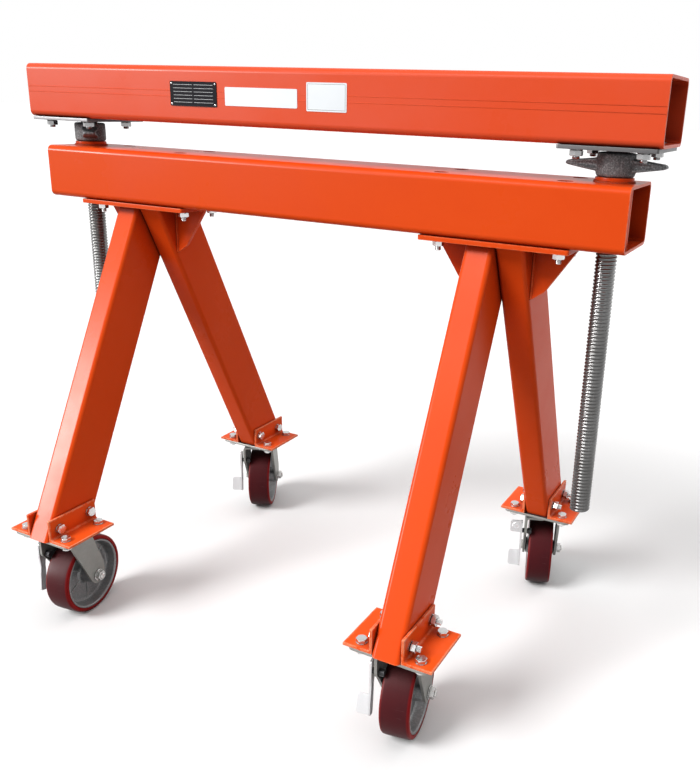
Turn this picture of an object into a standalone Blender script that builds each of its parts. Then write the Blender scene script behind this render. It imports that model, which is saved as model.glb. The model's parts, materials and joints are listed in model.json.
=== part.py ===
"""Height-adjustable lifting trestle on four swivel casters.

Two A-frames carry a lower box beam. Two screw jacks stand on it, and their
wing nuts raise an upper box beam. Metres, +Z up, beams along X.
"""
import math

import bmesh
import bpy
from mathutils import Matrix, Vector

# --- clearances -----------------------------------------------------------
GAP = 0.0003            # left between two solids that touch
THREAD_CLEAR = 0.0006   # radial, screw in its wing nut
SLEEVE_CLEAR = 0.0015   # radial, screw in its guide sleeve

# --- box beams --------------------------------------------------------------
BEAM_WIDTH = 0.150
BEAM_HEIGHT = 0.100
BEAM_WALL = 0.005
BEAM_CORNER = 0.011
TOP_LENGTH = 1.250
LOWER_LENGTH = 1.175
ACCESS_HOLE_RADIUS = 0.0125

# --- A-frames -----------------------------------------------------------------
FRAME_X = 0.376         # centre of each frame from the middle
LEG_WIDTH = 0.050
LEG_DEPTH = 0.100
LEG_WALL = 0.004
LEG_CORNER = 0.008
LEG_RISE = 0.606        # foot plane to head plate
SPLAY = math.radians(25.9)
HEAD_LENGTH = 0.256
HEAD_THICKNESS = 0.008
HEAD_BOLT_X = 0.104     # half the bolt pitch
HEAD_BOLT_Y = 0.042
GUSSET_WIDTH = 0.072
GUSSET_DROP = 0.092
GUSSET_THICKNESS = 0.008
GUSSET_NOSE = 0.004     # square land at its outer end
GUSSET_CUT = (0.024, 0.0755)  # where the slope ends: out from the leg, and down

# --- foot brackets ------------------------------------------------------------
BRACKET_LENGTH = 0.112
BRACKET_OUT = 0.053
BRACKET_UP = 0.045
BRACKET_THICKNESS = 0.005
TOE_PROUD = 0.0065      # leg centre outboard of the bracket centre

# --- screw jacks ----------------------------------------------------------------
JACK_X = 0.545
JACK_PLATE = 0.150
JACK_PLATE_THICKNESS = 0.006
SCREW_RADIUS = 0.017
SCREW_LENGTH = 0.604
SLEEVE_RADIUS = 0.030
SLEEVE_RISE = 0.008
NUT_RADIUS = 0.030
NUT_HEIGHT = 0.036
NUT_NECK = 0.004        # bare thread between nut and jack plate
NUT_EDGE = 0.003
SLEEVE_EDGE = 0.002
WING_REACH = 0.078
WING_WIDTH = 0.030
WING_ROOT = (0.0060, 0.0285)
WING_TIP = (0.0150, 0.0220)
WING_NOSE = 0.003
WING_TURN = {"left": math.radians(-45), "right": 0.0}

# --- casters --------------------------------------------------------------------
CASTER_TRAIL = 0.0425
CASTER_YAW = {
    "front_left": math.radians(7),
    "front_right": math.radians(9),
    "back_left": math.radians(26.5),
    "back_right": math.radians(18),
}
PLATE_X = 0.140
PLATE_Y = 0.110
PLATE_THICKNESS = 0.005
RACE_RADIUS = 0.037
RACE_HEIGHT = 0.0107
RACE_SLOPE = (0.007, 0.0022)  # top cone: in from the rim, and down
RACE_LIP = (0.006, 0.0030)    # lower cone
WHEEL_RADIUS = 0.080
WHEEL_WIDTH = 0.052
WHEEL_STEPS = 36        # facets round core and tread alike, so the gap between them holds
TREAD_DEPTH = 0.009
TREAD_SHOULDER = 0.0045
HUB_RADIUS = 0.019
HUB_DRAFT = 0.002
WEB_THICKNESS = 0.008
WEB_FILLET = 0.006
RIM_THICKNESS = 0.006
RIM_INSET = 0.0005      # rim face inside the tread face
HUB_CLEAR = 0.001       # hub end to fork
FORK_CLEAR = 0.006      # wheel side to fork
CROWN_CLEAR = 0.0197    # wheel top to fork crown
FORK_THICKNESS = 0.005
FORK_HALF_TOP = 0.030
FORK_REACH = 0.020      # side plate ahead of the axle
FORK_TAIL = 0.018       # and behind it
FORK_DROP = 0.017       # and below it
FORK_CUT = 0.010        # corner cuts at its foot
FORK_EAR = 0.012        # round the brake shaft
AXLE_RADIUS = 0.006
NUT_ACROSS = 0.018
HEAD_THICK = 0.0076
NUT_THICK = 0.0095
BOLT_STUB = 0.004       # thread past a nut
BRAKE_ANGLE = math.radians(132)  # brake shaft about the axle, from straight ahead
BRAKE_CLEAR = 0.002     # cam to tread
BRAKE_RADIUS = 0.005
BRAKE_CAM = 0.0065
CAM_LENGTH = 0.009      # over the tread's edge on the pedal's side
CAM_CLEAR = 0.001       # cam end to fork
STRAP_CLEAR = 0.005     # strap to fork
STRAP_THICKNESS = 0.004
STRAP_OUTLINE = (       # Y and Z from the brake shaft
    (-0.009, 0.022), (0.008, 0.022), (0.010, -0.004), (0.004, -0.050),
    (0.000, -0.084), (-0.014, -0.080), (-0.012, -0.046), (-0.011, -0.010),
)
PAD_THICKNESS = 0.004
PAD_WELD = 0.0002       # pad runs this far into the strap
UPPER_PAD = ((-0.006, -0.001), (-0.008, 0.027))
UPPER_PAD_WIDTH = 0.026
UPPER_PAD_PLACES = ("back_right",)
LOWER_PAD = ((0.000, -0.048), (-0.010, -0.080))
LOWER_PAD_WIDTH = 0.026

# --- nameplate ------------------------------------------------------------------
NAMEPLATE = (0.105, 0.042, 0.001)
NAMEPLATE_X = -0.206
NAMEPLATE_RISE = 0.052

# --- levels that follow from the sizes above --------------------------------------
CASTER_HEIGHT = (
    2 * WHEEL_RADIUS + CROWN_CLEAR + FORK_THICKNESS + RACE_HEIGHT + PLATE_THICKNESS + 2 * GAP
)
LEG_FOOT_Y = LEG_RISE * math.tan(SPLAY)
FOOT_Y = LEG_FOOT_Y - TOE_PROUD
LEG_OFFSET = (LEG_WIDTH + GAP) / 2
HEAD_Z = CASTER_HEIGHT + LEG_RISE
LOWER_Z = HEAD_Z + HEAD_THICKNESS + GAP
SLEEVE_TOP = LOWER_Z + BEAM_HEIGHT + SLEEVE_RISE
NUT_Z = SLEEVE_TOP + GAP
JACK_PLATE_Z = NUT_Z + NUT_HEIGHT + NUT_NECK
TOP_Z = JACK_PLATE_Z + JACK_PLATE_THICKNESS + GAP
CROWN_Z = -(PLATE_THICKNESS + RACE_HEIGHT + 2 * GAP)
AXLE_Z = WHEEL_RADIUS - CASTER_HEIGHT
FORK_INNER = WHEEL_WIDTH / 2 + FORK_CLEAR
FORK_OUTER = FORK_INNER + FORK_THICKNESS
BRAKE_SWING = WHEEL_RADIUS + BRAKE_CLEAR + BRAKE_CAM
BRAKE_Y = CASTER_TRAIL + BRAKE_SWING * math.cos(BRAKE_ANGLE)
BRAKE_Z = AXLE_Z + BRAKE_SWING * math.sin(BRAKE_ANGLE)

# Curve outlines are drawn in XY and thickened along Z; these turn them.
ALONG_X = Matrix(((0, 0, 1), (1, 0, 0), (0, 1, 0))).to_4x4()
ALONG_Y = Matrix.Rotation(math.pi / 2, 4, "X")
WHEEL_TURN = (0.0, math.pi / 2, 0.0)

PAINT = ((0.86, 0.10, 0.02), 0.30, 0.0)
ZINC = ((0.62, 0.63, 0.64), 0.35, 1.0)
STEEL = ((0.36, 0.36, 0.36), 0.40, 1.0)
CAST = ((0.06, 0.065, 0.07), 0.70, 0.6)
TREAD = ((0.10, 0.012, 0.014), 0.45, 0.0)
CORE = ((0.20, 0.21, 0.22), 0.55, 0.6)
BLACK = ((0.012, 0.012, 0.014), 0.40, 0.0)


# --- scene helpers ------------------------------------------------------------
def clear_scene():
    for obj in list(bpy.data.objects):
        bpy.data.objects.remove(obj, do_unlink=True)


def make_collection(name):
    collection = bpy.data.collections.new(name)
    bpy.context.scene.collection.children.link(collection)
    return collection


def make_material(name, finish):
    colour, roughness, metallic = finish
    mat = bpy.data.materials.new(name)
    mat.use_nodes = True
    shader = mat.node_tree.nodes["Principled BSDF"]
    shader.inputs["Base Color"].default_value = (*colour, 1.0)
    shader.inputs["Roughness"].default_value = roughness
    shader.inputs["Metallic"].default_value = metallic
    mat.diffuse_color = (*colour, 1.0)
    return mat


def add_empty(name, location=(0, 0, 0), turn=0.0, parent=None):
    empty = bpy.data.objects.new(name, None)
    empty.location = location
    empty.rotation_euler = (0, 0, turn)
    empty.parent = parent
    PARTS.objects.link(empty)
    return empty


def add_part(name, mesh, finish, location=(0, 0, 0), rotation=(0, 0, 0), parent=None):
    """One named piece, with its own material, sharing the mesh it is given."""
    obj = bpy.data.objects.new(name, mesh)
    if not mesh.materials:
        mesh.materials.append(None)
    obj.material_slots[0].link = "OBJECT"
    obj.material_slots[0].material = make_material(name, finish)
    obj.location = location
    obj.rotation_euler = rotation
    obj.parent = parent
    PARTS.objects.link(obj)
    return obj


# --- mesh helpers ---------------------------------------------------------------
def finish_mesh(bm, name, smooth=False):
    bmesh.ops.remove_doubles(bm, verts=bm.verts, dist=1e-6)
    bmesh.ops.recalc_face_normals(bm, faces=bm.faces)
    mesh = bpy.data.meshes.new(name)
    bm.to_mesh(mesh)
    bm.free()
    if smooth:
        mesh.shade_smooth()
        mesh.set_sharp_from_angle(angle=math.radians(35))
    return mesh


def evaluated_mesh(obj, tools=()):
    """The mesh of obj with its modifiers applied; obj and its tools are removed."""
    bpy.context.view_layer.update()
    graph = bpy.context.evaluated_depsgraph_get()
    mesh = bpy.data.meshes.new_from_object(obj.evaluated_get(graph))
    for used in (obj, *tools):
        bpy.data.objects.remove(used, do_unlink=True)
    return mesh


def cutter(name, mesh):
    obj = bpy.data.objects.new(name, mesh)
    obj.display_type = "WIRE"
    obj.hide_render = True
    CUTTERS.objects.link(obj)
    return obj


def combine(name, base, steps, smooth=False):
    """Base mesh after each (operation, mesh) step, as exact booleans."""
    body = cutter(name, base)
    tools = []
    for number, (operation, mesh) in enumerate(steps):
        tool = cutter(f"{name}_tool_{number}", mesh)
        modifier = body.modifiers.new(f"step_{number}", "BOOLEAN")
        modifier.operation = operation
        modifier.solver = "EXACT"
        modifier.object = tool
        tools.append(tool)
    bm = bmesh.new()
    bm.from_mesh(evaluated_mesh(body, tools))
    bmesh.ops.dissolve_degenerate(bm, edges=bm.edges, dist=1e-6)
    return finish_mesh(bm, name, smooth)


def box_mesh(size, centre=(0, 0, 0)):
    bm = bmesh.new()
    place = Matrix.Translation(centre) @ Matrix.Diagonal((*size, 1))
    bmesh.ops.create_cube(bm, size=1.0, matrix=place)
    return finish_mesh(bm, "box")


def cylinder_mesh(radius, length, centre=(0, 0, 0), turn=None, sides=24):
    """A closed cylinder along Z, or along the axis that turn brings Z to."""
    bm = bmesh.new()
    place = Matrix.Translation(centre) @ (turn or Matrix.Identity(4))
    bmesh.ops.create_cone(
        bm, cap_ends=True, segments=sides, radius1=radius, radius2=radius,
        depth=length, matrix=place,
    )
    return finish_mesh(bm, "cylinder", smooth=sides > 6)


def hexagon_mesh(across, length, centre, turn):
    return cylinder_mesh(across / math.sqrt(3), length, centre, turn, sides=6)


def prism_mesh(loops, thickness, turn=None, centre=(0, 0, 0)):
    """Flat outline (and any holes) as a 2D curve, thickened about its plane."""
    curve = bpy.data.curves.new("outline", "CURVE")
    curve.dimensions = "2D"
    curve.fill_mode = "BOTH"
    curve.extrude = thickness / 2
    for points in loops:
        spline = curve.splines.new("POLY")
        spline.points.add(len(points) - 1)
        for point, (u, v) in zip(spline.points, points):
            point.co = (u, v, 0, 1)
        spline.use_cyclic_u = True
    mesh = evaluated_mesh(cutter("outline", curve))
    mesh.transform(Matrix.Translation(centre) @ (turn or Matrix.Identity(4)))
    bm = bmesh.new()
    bm.from_mesh(mesh)
    return finish_mesh(bm, "prism")


def rounded_rectangle(width, height, radius, steps=4):
    points = []
    corners = ((1, 1, 0), (-1, 1, 90), (-1, -1, 180), (1, -1, 270))
    for side_u, side_v, start in corners:
        centre_u = side_u * (width / 2 - radius)
        centre_v = side_v * (height / 2 - radius)
        for step in range(steps + 1):
            angle = math.radians(start + 90 * step / steps)
            points.append(
                (centre_u + radius * math.cos(angle), centre_v + radius * math.sin(angle))
            )
    return points


def tube_mesh(width, height, wall, corner, length, turn=None):
    outer = rounded_rectangle(width, height, corner)
    inner = rounded_rectangle(width - 2 * wall, height - 2 * wall, max(corner - wall, 0.001))
    return prism_mesh([outer, inner], length, turn)


def turned_mesh(name, profile, ring=False, steps=32):
    """Profile of (radius, height), top to bottom on its outer side, turned about Z."""
    bm = bmesh.new()
    verts = [bm.verts.new((radius, 0, height)) for radius, height in profile]
    for start, end in zip(verts, verts[1:]):
        bm.edges.new((start, end))
    if ring:
        bm.edges.new((verts[-1], verts[0]))
    mesh = bpy.data.meshes.new(name)
    bm.to_mesh(mesh)
    bm.free()
    obj = cutter(name, mesh)
    screw = obj.modifiers.new("turn", "SCREW")
    screw.axis = "Z"
    screw.steps = steps
    screw.render_steps = steps
    screw.use_merge_vertices = True
    screw.merge_threshold = 0.00001
    bm = bmesh.new()
    bm.from_mesh(evaluated_mesh(obj))
    return finish_mesh(bm, name, smooth=True)


# --- beams ------------------------------------------------------------------------
def beam_tube(length):
    return tube_mesh(BEAM_WIDTH, BEAM_HEIGHT, BEAM_WALL, BEAM_CORNER, length, ALONG_X)


def build_top_beam(parent):
    add_part("top_beam", beam_tube(TOP_LENGTH), PAINT, (0, 0, TOP_Z + BEAM_HEIGHT / 2), parent=parent)


def build_lower_beam(parent):
    """Box beam, bored for the two guide sleeves and for bolt access over each head plate."""
    steps = []
    for side in (-1, 1):
        bore = cylinder_mesh(SLEEVE_RADIUS + GAP, 2 * BEAM_HEIGHT, (side * JACK_X, 0, 0))
        steps.append(("DIFFERENCE", bore))
        for bolt_x, bolt_y in corner_pairs(HEAD_BOLT_X, HEAD_BOLT_Y):
            hole = cylinder_mesh(
                ACCESS_HOLE_RADIUS, 4 * BEAM_WALL,
                (side * FRAME_X + bolt_x, bolt_y, BEAM_HEIGHT / 2), sides=16,
            )
            steps.append(("DIFFERENCE", hole))
    mesh = combine("lower_beam", beam_tube(LOWER_LENGTH), steps)
    add_part("lower_beam", mesh, PAINT, (0, 0, LOWER_Z + BEAM_HEIGHT / 2), parent=parent)


def corner_pairs(half_x, half_y):
    return [(sx * half_x, sy * half_y) for sx in (-1, 1) for sy in (-1, 1)]


def build_nameplate(parent):
    width, height, thickness = NAMEPLATE
    face_y = -(BEAM_WIDTH / 2 + GAP + thickness / 2)
    mesh = prism_mesh([rounded_rectangle(width, height, 0.002, 2)], thickness, ALONG_Y)
    add_part("nameplate", mesh, BLACK, (NAMEPLATE_X, face_y, TOP_Z + NAMEPLATE_RISE), parent=parent)


# --- A-frames ---------------------------------------------------------------------
def leg_mesh(towards):
    """Box tube, cut level at both ends; its foot stands on the towards side in Y."""
    height = LEG_RISE - 2 * GAP
    mesh = tube_mesh(LEG_WIDTH, LEG_DEPTH, LEG_WALL, LEG_CORNER, height)
    for vertex in mesh.vertices:
        below_head = height / 2 - vertex.co.z + GAP
        vertex.co.y = vertex.co.y / math.cos(SPLAY) + towards * below_head * math.tan(SPLAY)
    return mesh


def gusset_mesh(side):
    """Web in the XZ plane, with its tip cut off; side is the way it reaches from the leg."""
    cut_out, cut_down = GUSSET_CUT
    outline = [
        (0, 0), (GUSSET_WIDTH, 0), (GUSSET_WIDTH, -GUSSET_NOSE),
        (cut_out, -cut_down), (0, -GUSSET_DROP),
    ]
    points = [(side * u, v) for u, v in outline]
    return prism_mesh([points], GUSSET_THICKNESS, ALONG_Y)


def bracket_mesh(side):
    """Angle: one flange up the leg, one out over the caster plate, on the side given."""
    t = BRACKET_THICKNESS
    outline = [(0, 0), (BRACKET_OUT, 0), (BRACKET_OUT, t), (t, t), (t, BRACKET_UP), (0, BRACKET_UP)]
    points = [(side * u, v) for u, v in outline]
    return prism_mesh([points], BRACKET_LENGTH, ALONG_Y)


def build_frame(side, frame_x, shapes, parent):
    """Head plate, two crossed legs side by side, their gussets and foot brackets."""
    head_z = HEAD_Z + HEAD_THICKNESS / 2
    add_part(f"head_plate_{side}", shapes["head"], PAINT, (frame_x, 0, head_z), parent=parent)
    leg_z = CASTER_HEIGHT + LEG_RISE / 2
    for end, towards in (("front", -1), ("back", 1)):
        leg_x = frame_x + towards * LEG_OFFSET
        add_part(f"leg_{end}_{side}", shapes[f"leg_{end}"], PAINT, (leg_x, 0, leg_z), parent=parent)
        weld_x = leg_x + towards * (LEG_WIDTH / 2 + GAP)
        add_part(
            f"gusset_{end}_{side}", shapes[f"gusset_{end}"], PAINT,
            (weld_x, 0, HEAD_Z - GAP), parent=parent,
        )
        for way, reach in (("inner", -1), ("outer", 1)):
            bracket_x = leg_x + reach * (LEG_WIDTH / 2 + GAP)
            add_part(
                f"foot_bracket_{end}_{side}_{way}", shapes[f"bracket_{way}"], PAINT,
                (bracket_x, towards * FOOT_Y, CASTER_HEIGHT + GAP), parent=parent,
            )


def frame_shapes():
    head = rounded_rectangle(HEAD_LENGTH, BEAM_WIDTH, 0.004, 2)
    return {
        "head": prism_mesh([head], HEAD_THICKNESS),
        "leg_front": leg_mesh(-1),
        "leg_back": leg_mesh(1),
        "gusset_front": gusset_mesh(-1),
        "gusset_back": gusset_mesh(1),
        "bracket_inner": bracket_mesh(-1),
        "bracket_outer": bracket_mesh(1),
    }


# --- screw jacks --------------------------------------------------------------------
def wing_nut_mesh():
    """Turned hub with two tapering wings across it, bored for the screw."""
    edge = NUT_EDGE
    hub = turned_mesh("hub", [
        (0, NUT_HEIGHT), (NUT_RADIUS - edge, NUT_HEIGHT), (NUT_RADIUS, NUT_HEIGHT - edge),
        (NUT_RADIUS, edge), (NUT_RADIUS - edge, 0), (0, 0),
    ])
    root_low, root_high = WING_ROOT
    tip_low, tip_high = WING_TIP
    tip_middle = (tip_low + tip_high) / 2
    root, nose = NUT_RADIUS - 2 * edge, WING_REACH - WING_NOSE
    half = [
        (root, root_low), (nose, tip_low), (WING_REACH, tip_middle),
        (nose, tip_high), (root, root_high),
    ]
    outline = half + [(-u, v) for u, v in reversed(half)]
    wings = prism_mesh([outline], WING_WIDTH, ALONG_Y)
    bore = cylinder_mesh(SCREW_RADIUS + THREAD_CLEAR, 4 * NUT_HEIGHT)
    return combine("wing_nut", hub, [("UNION", wings), ("DIFFERENCE", bore)], smooth=True)


def sleeve_mesh():
    bore = SCREW_RADIUS + SLEEVE_CLEAR
    length = BEAM_HEIGHT + SLEEVE_RISE
    return turned_mesh("sleeve", [
        (bore, length), (SLEEVE_RADIUS - SLEEVE_EDGE, length), (SLEEVE_RADIUS, length - SLEEVE_EDGE),
        (SLEEVE_RADIUS, 0), (bore, 0),
    ], ring=True, steps=24)


def jack_plate_mesh():
    outline = rounded_rectangle(JACK_PLATE, JACK_PLATE, 0.003, 2)
    return prism_mesh([outline], JACK_PLATE_THICKNESS)


def build_jacks(stand, lift):
    """Per jack: sleeve in the lower beam, screw and plate under the top beam, nut on the sleeve."""
    nut, sleeve, plate = wing_nut_mesh(), sleeve_mesh(), jack_plate_mesh()
    screw = cylinder_mesh(SCREW_RADIUS, SCREW_LENGTH)
    screw_z = JACK_PLATE_Z - GAP - SCREW_LENGTH / 2
    for side, jack_x in (("left", -JACK_X), ("right", JACK_X)):
        add_part(f"guide_sleeve_{side}", sleeve, PAINT, (jack_x, 0, LOWER_Z), parent=stand)
        plate_z = JACK_PLATE_Z + JACK_PLATE_THICKNESS / 2
        add_part(f"jack_plate_{side}", plate, ZINC, (jack_x, 0, plate_z), parent=lift)
        add_part(f"jack_screw_{side}", screw, STEEL, (jack_x, 0, screw_z), parent=lift)
        turn = (0, 0, WING_TURN[side])
        add_part(f"wing_nut_{side}", nut, CAST, (jack_x, 0, NUT_Z), turn, parent=stand)


# --- casters: local origin on the swivel axis, in the foot plane ------------------------
def race_mesh():
    top = -(PLATE_THICKNESS + GAP)
    bottom = top - RACE_HEIGHT
    slope_in, slope_down = RACE_SLOPE
    lip_in, lip_up = RACE_LIP
    return turned_mesh("race", [
        (0, top), (RACE_RADIUS - slope_in, top), (RACE_RADIUS, top - slope_down),
        (RACE_RADIUS, bottom + lip_up), (RACE_RADIUS - lip_in, bottom), (0, bottom),
    ], steps=28)


def fork_side_mesh(centre_x, ear):
    """Side plate raking back from the crown to the axle; the ear carries the brake shaft."""
    top, cut = FORK_HALF_TOP, FORK_CUT
    nose, tail = CASTER_TRAIL + FORK_REACH, CASTER_TRAIL - FORK_TAIL
    heel = AXLE_Z - FORK_DROP
    outline = [
        (-top, CROWN_Z), (top, CROWN_Z), (nose, AXLE_Z + FORK_REACH),
        (nose, heel + cut), (nose - cut, heel), (tail + cut, heel), (tail, heel + cut),
    ]
    if ear:
        outline += [(BRAKE_Y, BRAKE_Z - FORK_EAR), (BRAKE_Y - FORK_EAR, BRAKE_Z)]
    return prism_mesh([outline], FORK_THICKNESS, ALONG_X, (centre_x, 0, 0))


def fork_mesh():
    """Crown joined to two side plates, drilled for the axle and, on one side, the brake shaft."""
    crown = box_mesh(
        (2 * FORK_INNER + FORK_THICKNESS, 2 * FORK_HALF_TOP - FORK_THICKNESS, FORK_THICKNESS),
        (0, 0, CROWN_Z - FORK_THICKNESS / 2 - GAP),
    )
    middle = FORK_INNER + FORK_THICKNESS / 2
    axle_hole = cylinder_mesh(
        AXLE_RADIUS + GAP, 4 * FORK_OUTER, (0, CASTER_TRAIL, AXLE_Z), ALONG_X, sides=16)
    brake_hole = cylinder_mesh(
        BRAKE_RADIUS + GAP, 2 * FORK_OUTER, (-FORK_OUTER, BRAKE_Y, BRAKE_Z), ALONG_X, sides=12)
    return combine("fork", fork_side_mesh(-middle, ear=True), [
        ("UNION", crown), ("UNION", fork_side_mesh(middle, ear=False)),
        ("DIFFERENCE", axle_hole), ("DIFFERENCE", brake_hole),
    ])


def core_mesh():
    """Hub, web and rim turned in one; local Z is the axle."""
    half = WHEEL_WIDTH / 2 - RIM_INSET
    hub_half = FORK_INNER - HUB_CLEAR
    bore = AXLE_RADIUS + GAP
    rim_outer = WHEEL_RADIUS - TREAD_DEPTH - GAP
    rim_inner = rim_outer - RIM_THICKNESS
    web, draft, fillet = WEB_THICKNESS / 2, HUB_DRAFT, WEB_FILLET
    right = [
        (bore, hub_half), (HUB_RADIUS - draft, hub_half), (HUB_RADIUS, hub_half - fillet),
        (HUB_RADIUS + draft, web), (rim_inner - fillet, web), (rim_inner, web + fillet),
        (rim_inner + draft, half), (rim_outer, half),
    ]
    left = [(radius, -height) for radius, height in reversed(right)]
    return turned_mesh("core", right + left, ring=True, steps=WHEEL_STEPS)


def tyre_mesh():
    half = WHEEL_WIDTH / 2
    inner = WHEEL_RADIUS - TREAD_DEPTH
    shoulder = TREAD_SHOULDER
    right = [(inner, half), (WHEEL_RADIUS - shoulder, half), (WHEEL_RADIUS, half - shoulder)]
    left = [(radius, -height) for radius, height in reversed(right)]
    return turned_mesh("tyre", right + left, ring=True, steps=WHEEL_STEPS)


def axle_mesh():
    """Bolt through the fork: head on the brake side, nut on the other."""
    seat = FORK_OUTER + GAP
    reach = seat + NUT_THICK + BOLT_STUB
    shank = cylinder_mesh(
        AXLE_RADIUS, reach + seat, ((reach - seat) / 2, 0, 0), ALONG_X, sides=16)
    return combine("axle", shank, [
        ("UNION", hexagon_mesh(NUT_ACROSS, HEAD_THICK, (-seat - HEAD_THICK / 2, 0, 0), ALONG_X)),
        ("UNION", hexagon_mesh(NUT_ACROSS, NUT_THICK, (seat + NUT_THICK / 2, 0, 0), ALONG_X)),
    ])


def strip_outline(start, end, thickness):
    """Rectangle of the given thickness along the line from start to end."""
    along = (Vector(end) - Vector(start)).normalized()
    across = Vector((-along.y, along.x)) * thickness / 2
    corners = (Vector(start) - across, Vector(end) - across, Vector(end) + across, Vector(start) + across)
    return [tuple(corner) for corner in corners]


def brake_mesh(upper_pad):
    """Stub shaft with its cam, side strap and one or two foot pads; origin on the shaft."""
    strap_x = -(FORK_OUTER + STRAP_CLEAR + STRAP_THICKNESS / 2)
    inner_x = strap_x + STRAP_THICKNESS / 2 - PAD_WELD
    shaft_start = strap_x - STRAP_THICKNESS / 2 - BRAKE_RADIUS / 3
    cam_start = CAM_CLEAR - FORK_INNER
    cam_end = cam_start + CAM_LENGTH
    shaft = cylinder_mesh(
        BRAKE_RADIUS, cam_end - shaft_start, ((cam_end + shaft_start) / 2, 0, 0), ALONG_X, sides=12)
    cam = cylinder_mesh(BRAKE_CAM, CAM_LENGTH, ((cam_start + cam_end) / 2, 0, 0), ALONG_X, sides=12)
    pads = [(LOWER_PAD, LOWER_PAD_WIDTH)]
    if upper_pad:
        pads.append((UPPER_PAD, UPPER_PAD_WIDTH))
    steps = [("UNION", shaft), ("UNION", cam)]
    for (start, end), width in pads:
        outline = strip_outline(start, end, PAD_THICKNESS)
        steps.append(("UNION", prism_mesh([outline], width, ALONG_X, (inner_x - width / 2, 0, 0))))
    strap = prism_mesh([STRAP_OUTLINE], STRAP_THICKNESS, ALONG_X, (strap_x, 0, 0))
    return combine("brake", strap, steps)


def caster_plate_mesh():
    outline = rounded_rectangle(PLATE_X, PLATE_Y, 0.008, 3)
    return prism_mesh([outline], PLATE_THICKNESS, centre=(0, 0, -PLATE_THICKNESS / 2))


def caster_shapes():
    return {
        "plate": caster_plate_mesh(),
        "race": race_mesh(),
        "fork": fork_mesh(),
        "core": core_mesh(),
        "tyre": tyre_mesh(),
        "axle": axle_mesh(),
        "brake": brake_mesh(upper_pad=False),
        "brake_two_pads": brake_mesh(upper_pad=True),
    }


def build_caster(place, foot, shapes, stand):
    """Fixed plate and race, then a swivel empty that carries fork, axle, wheel and brake."""
    add_part(f"caster_plate_{place}", shapes["plate"], ZINC, foot, parent=stand)
    add_part(f"caster_race_{place}", shapes["race"], ZINC, foot, parent=stand)
    swivel = add_empty(f"swivel_{place}", foot, CASTER_YAW[place], stand)
    axle_at = (0, CASTER_TRAIL, AXLE_Z)
    add_part(f"fork_{place}", shapes["fork"], ZINC, parent=swivel)
    add_part(f"axle_{place}", shapes["axle"], ZINC, axle_at, parent=swivel)
    add_part(f"wheel_core_{place}", shapes["core"], CORE, axle_at, WHEEL_TURN, parent=swivel)
    add_part(f"tyre_{place}", shapes["tyre"], TREAD, axle_at, WHEEL_TURN, parent=swivel)
    brake = shapes["brake_two_pads" if place in UPPER_PAD_PLACES else "brake"]
    add_part(f"brake_pedal_{place}", brake, ZINC, (0, BRAKE_Y, BRAKE_Z), parent=swivel)


def build_casters(stand):
    shapes = caster_shapes()
    for side, frame_x in (("left", -FRAME_X), ("right", FRAME_X)):
        for end, towards in (("front", -1), ("back", 1)):
            foot = (frame_x + towards * LEG_OFFSET, towards * FOOT_Y, CASTER_HEIGHT)
            build_caster(f"{end}_{side}", foot, shapes, stand)


# --- assembly -------------------------------------------------------------------------
def centre_over_floor(stand):
    """Shift the whole object so its box stands on the floor, centred on the origin."""
    bpy.context.view_layer.update()
    corners = [
        obj.matrix_world @ vertex.co
        for obj in PARTS.objects if obj.type == "MESH"
        for vertex in obj.data.vertices
    ]
    low = Vector([min(corner[axis] for corner in corners) for axis in range(3)])
    high = Vector([max(corner[axis] for corner in corners) for axis in range(3)])
    stand.location = (-(low.x + high.x) / 2, -(low.y + high.y) / 2, -low.z)
    bpy.context.view_layer.update()


def build():
    stand = add_empty("stand")
    lift = add_empty("lift", parent=stand)
    build_top_beam(lift)
    build_nameplate(lift)
    build_lower_beam(stand)
    shapes = frame_shapes()
    build_frame("left", -FRAME_X, shapes, stand)
    build_frame("right", FRAME_X, shapes, stand)
    build_jacks(stand, lift)
    build_casters(stand)
    centre_over_floor(stand)


clear_scene()
PARTS = make_collection("lifting_trestle")
CUTTERS = make_collection("cutters")
build()
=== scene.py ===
"""Studio scene of a height-adjustable lifting trestle on four braked casters.

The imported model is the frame. Each sub-assembly is a class that models its visible
pieces over the frame, dresses them and makes them ride on their bodies.
Metres, +Z up, beams along X.
"""
from __future__ import annotations

import json
import logging
import math
from collections.abc import Callable, Iterator, Sequence
from contextlib import contextmanager
from dataclasses import dataclass, field, replace
from enum import Enum

import bmesh
import bpy
from mathutils import Matrix, Vector


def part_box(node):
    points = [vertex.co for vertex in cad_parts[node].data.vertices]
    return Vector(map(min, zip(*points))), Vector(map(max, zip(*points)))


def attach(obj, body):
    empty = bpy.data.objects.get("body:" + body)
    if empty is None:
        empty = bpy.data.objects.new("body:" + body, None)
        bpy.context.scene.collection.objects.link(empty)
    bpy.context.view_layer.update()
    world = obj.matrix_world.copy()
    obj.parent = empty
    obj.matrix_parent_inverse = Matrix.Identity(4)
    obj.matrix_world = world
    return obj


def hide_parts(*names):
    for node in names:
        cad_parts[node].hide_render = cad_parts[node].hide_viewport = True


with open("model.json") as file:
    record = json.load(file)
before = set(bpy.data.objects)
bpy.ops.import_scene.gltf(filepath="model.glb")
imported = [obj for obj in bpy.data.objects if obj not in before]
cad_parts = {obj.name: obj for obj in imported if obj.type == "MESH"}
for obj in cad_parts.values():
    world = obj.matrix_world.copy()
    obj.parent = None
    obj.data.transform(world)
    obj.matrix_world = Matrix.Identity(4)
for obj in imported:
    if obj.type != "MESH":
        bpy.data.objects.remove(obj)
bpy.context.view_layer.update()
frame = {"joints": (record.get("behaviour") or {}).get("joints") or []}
LOG = logging.getLogger("trestle")
OWN_PLACE = "own_place"  # the attribute that keeps a piece's pattern with it

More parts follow.
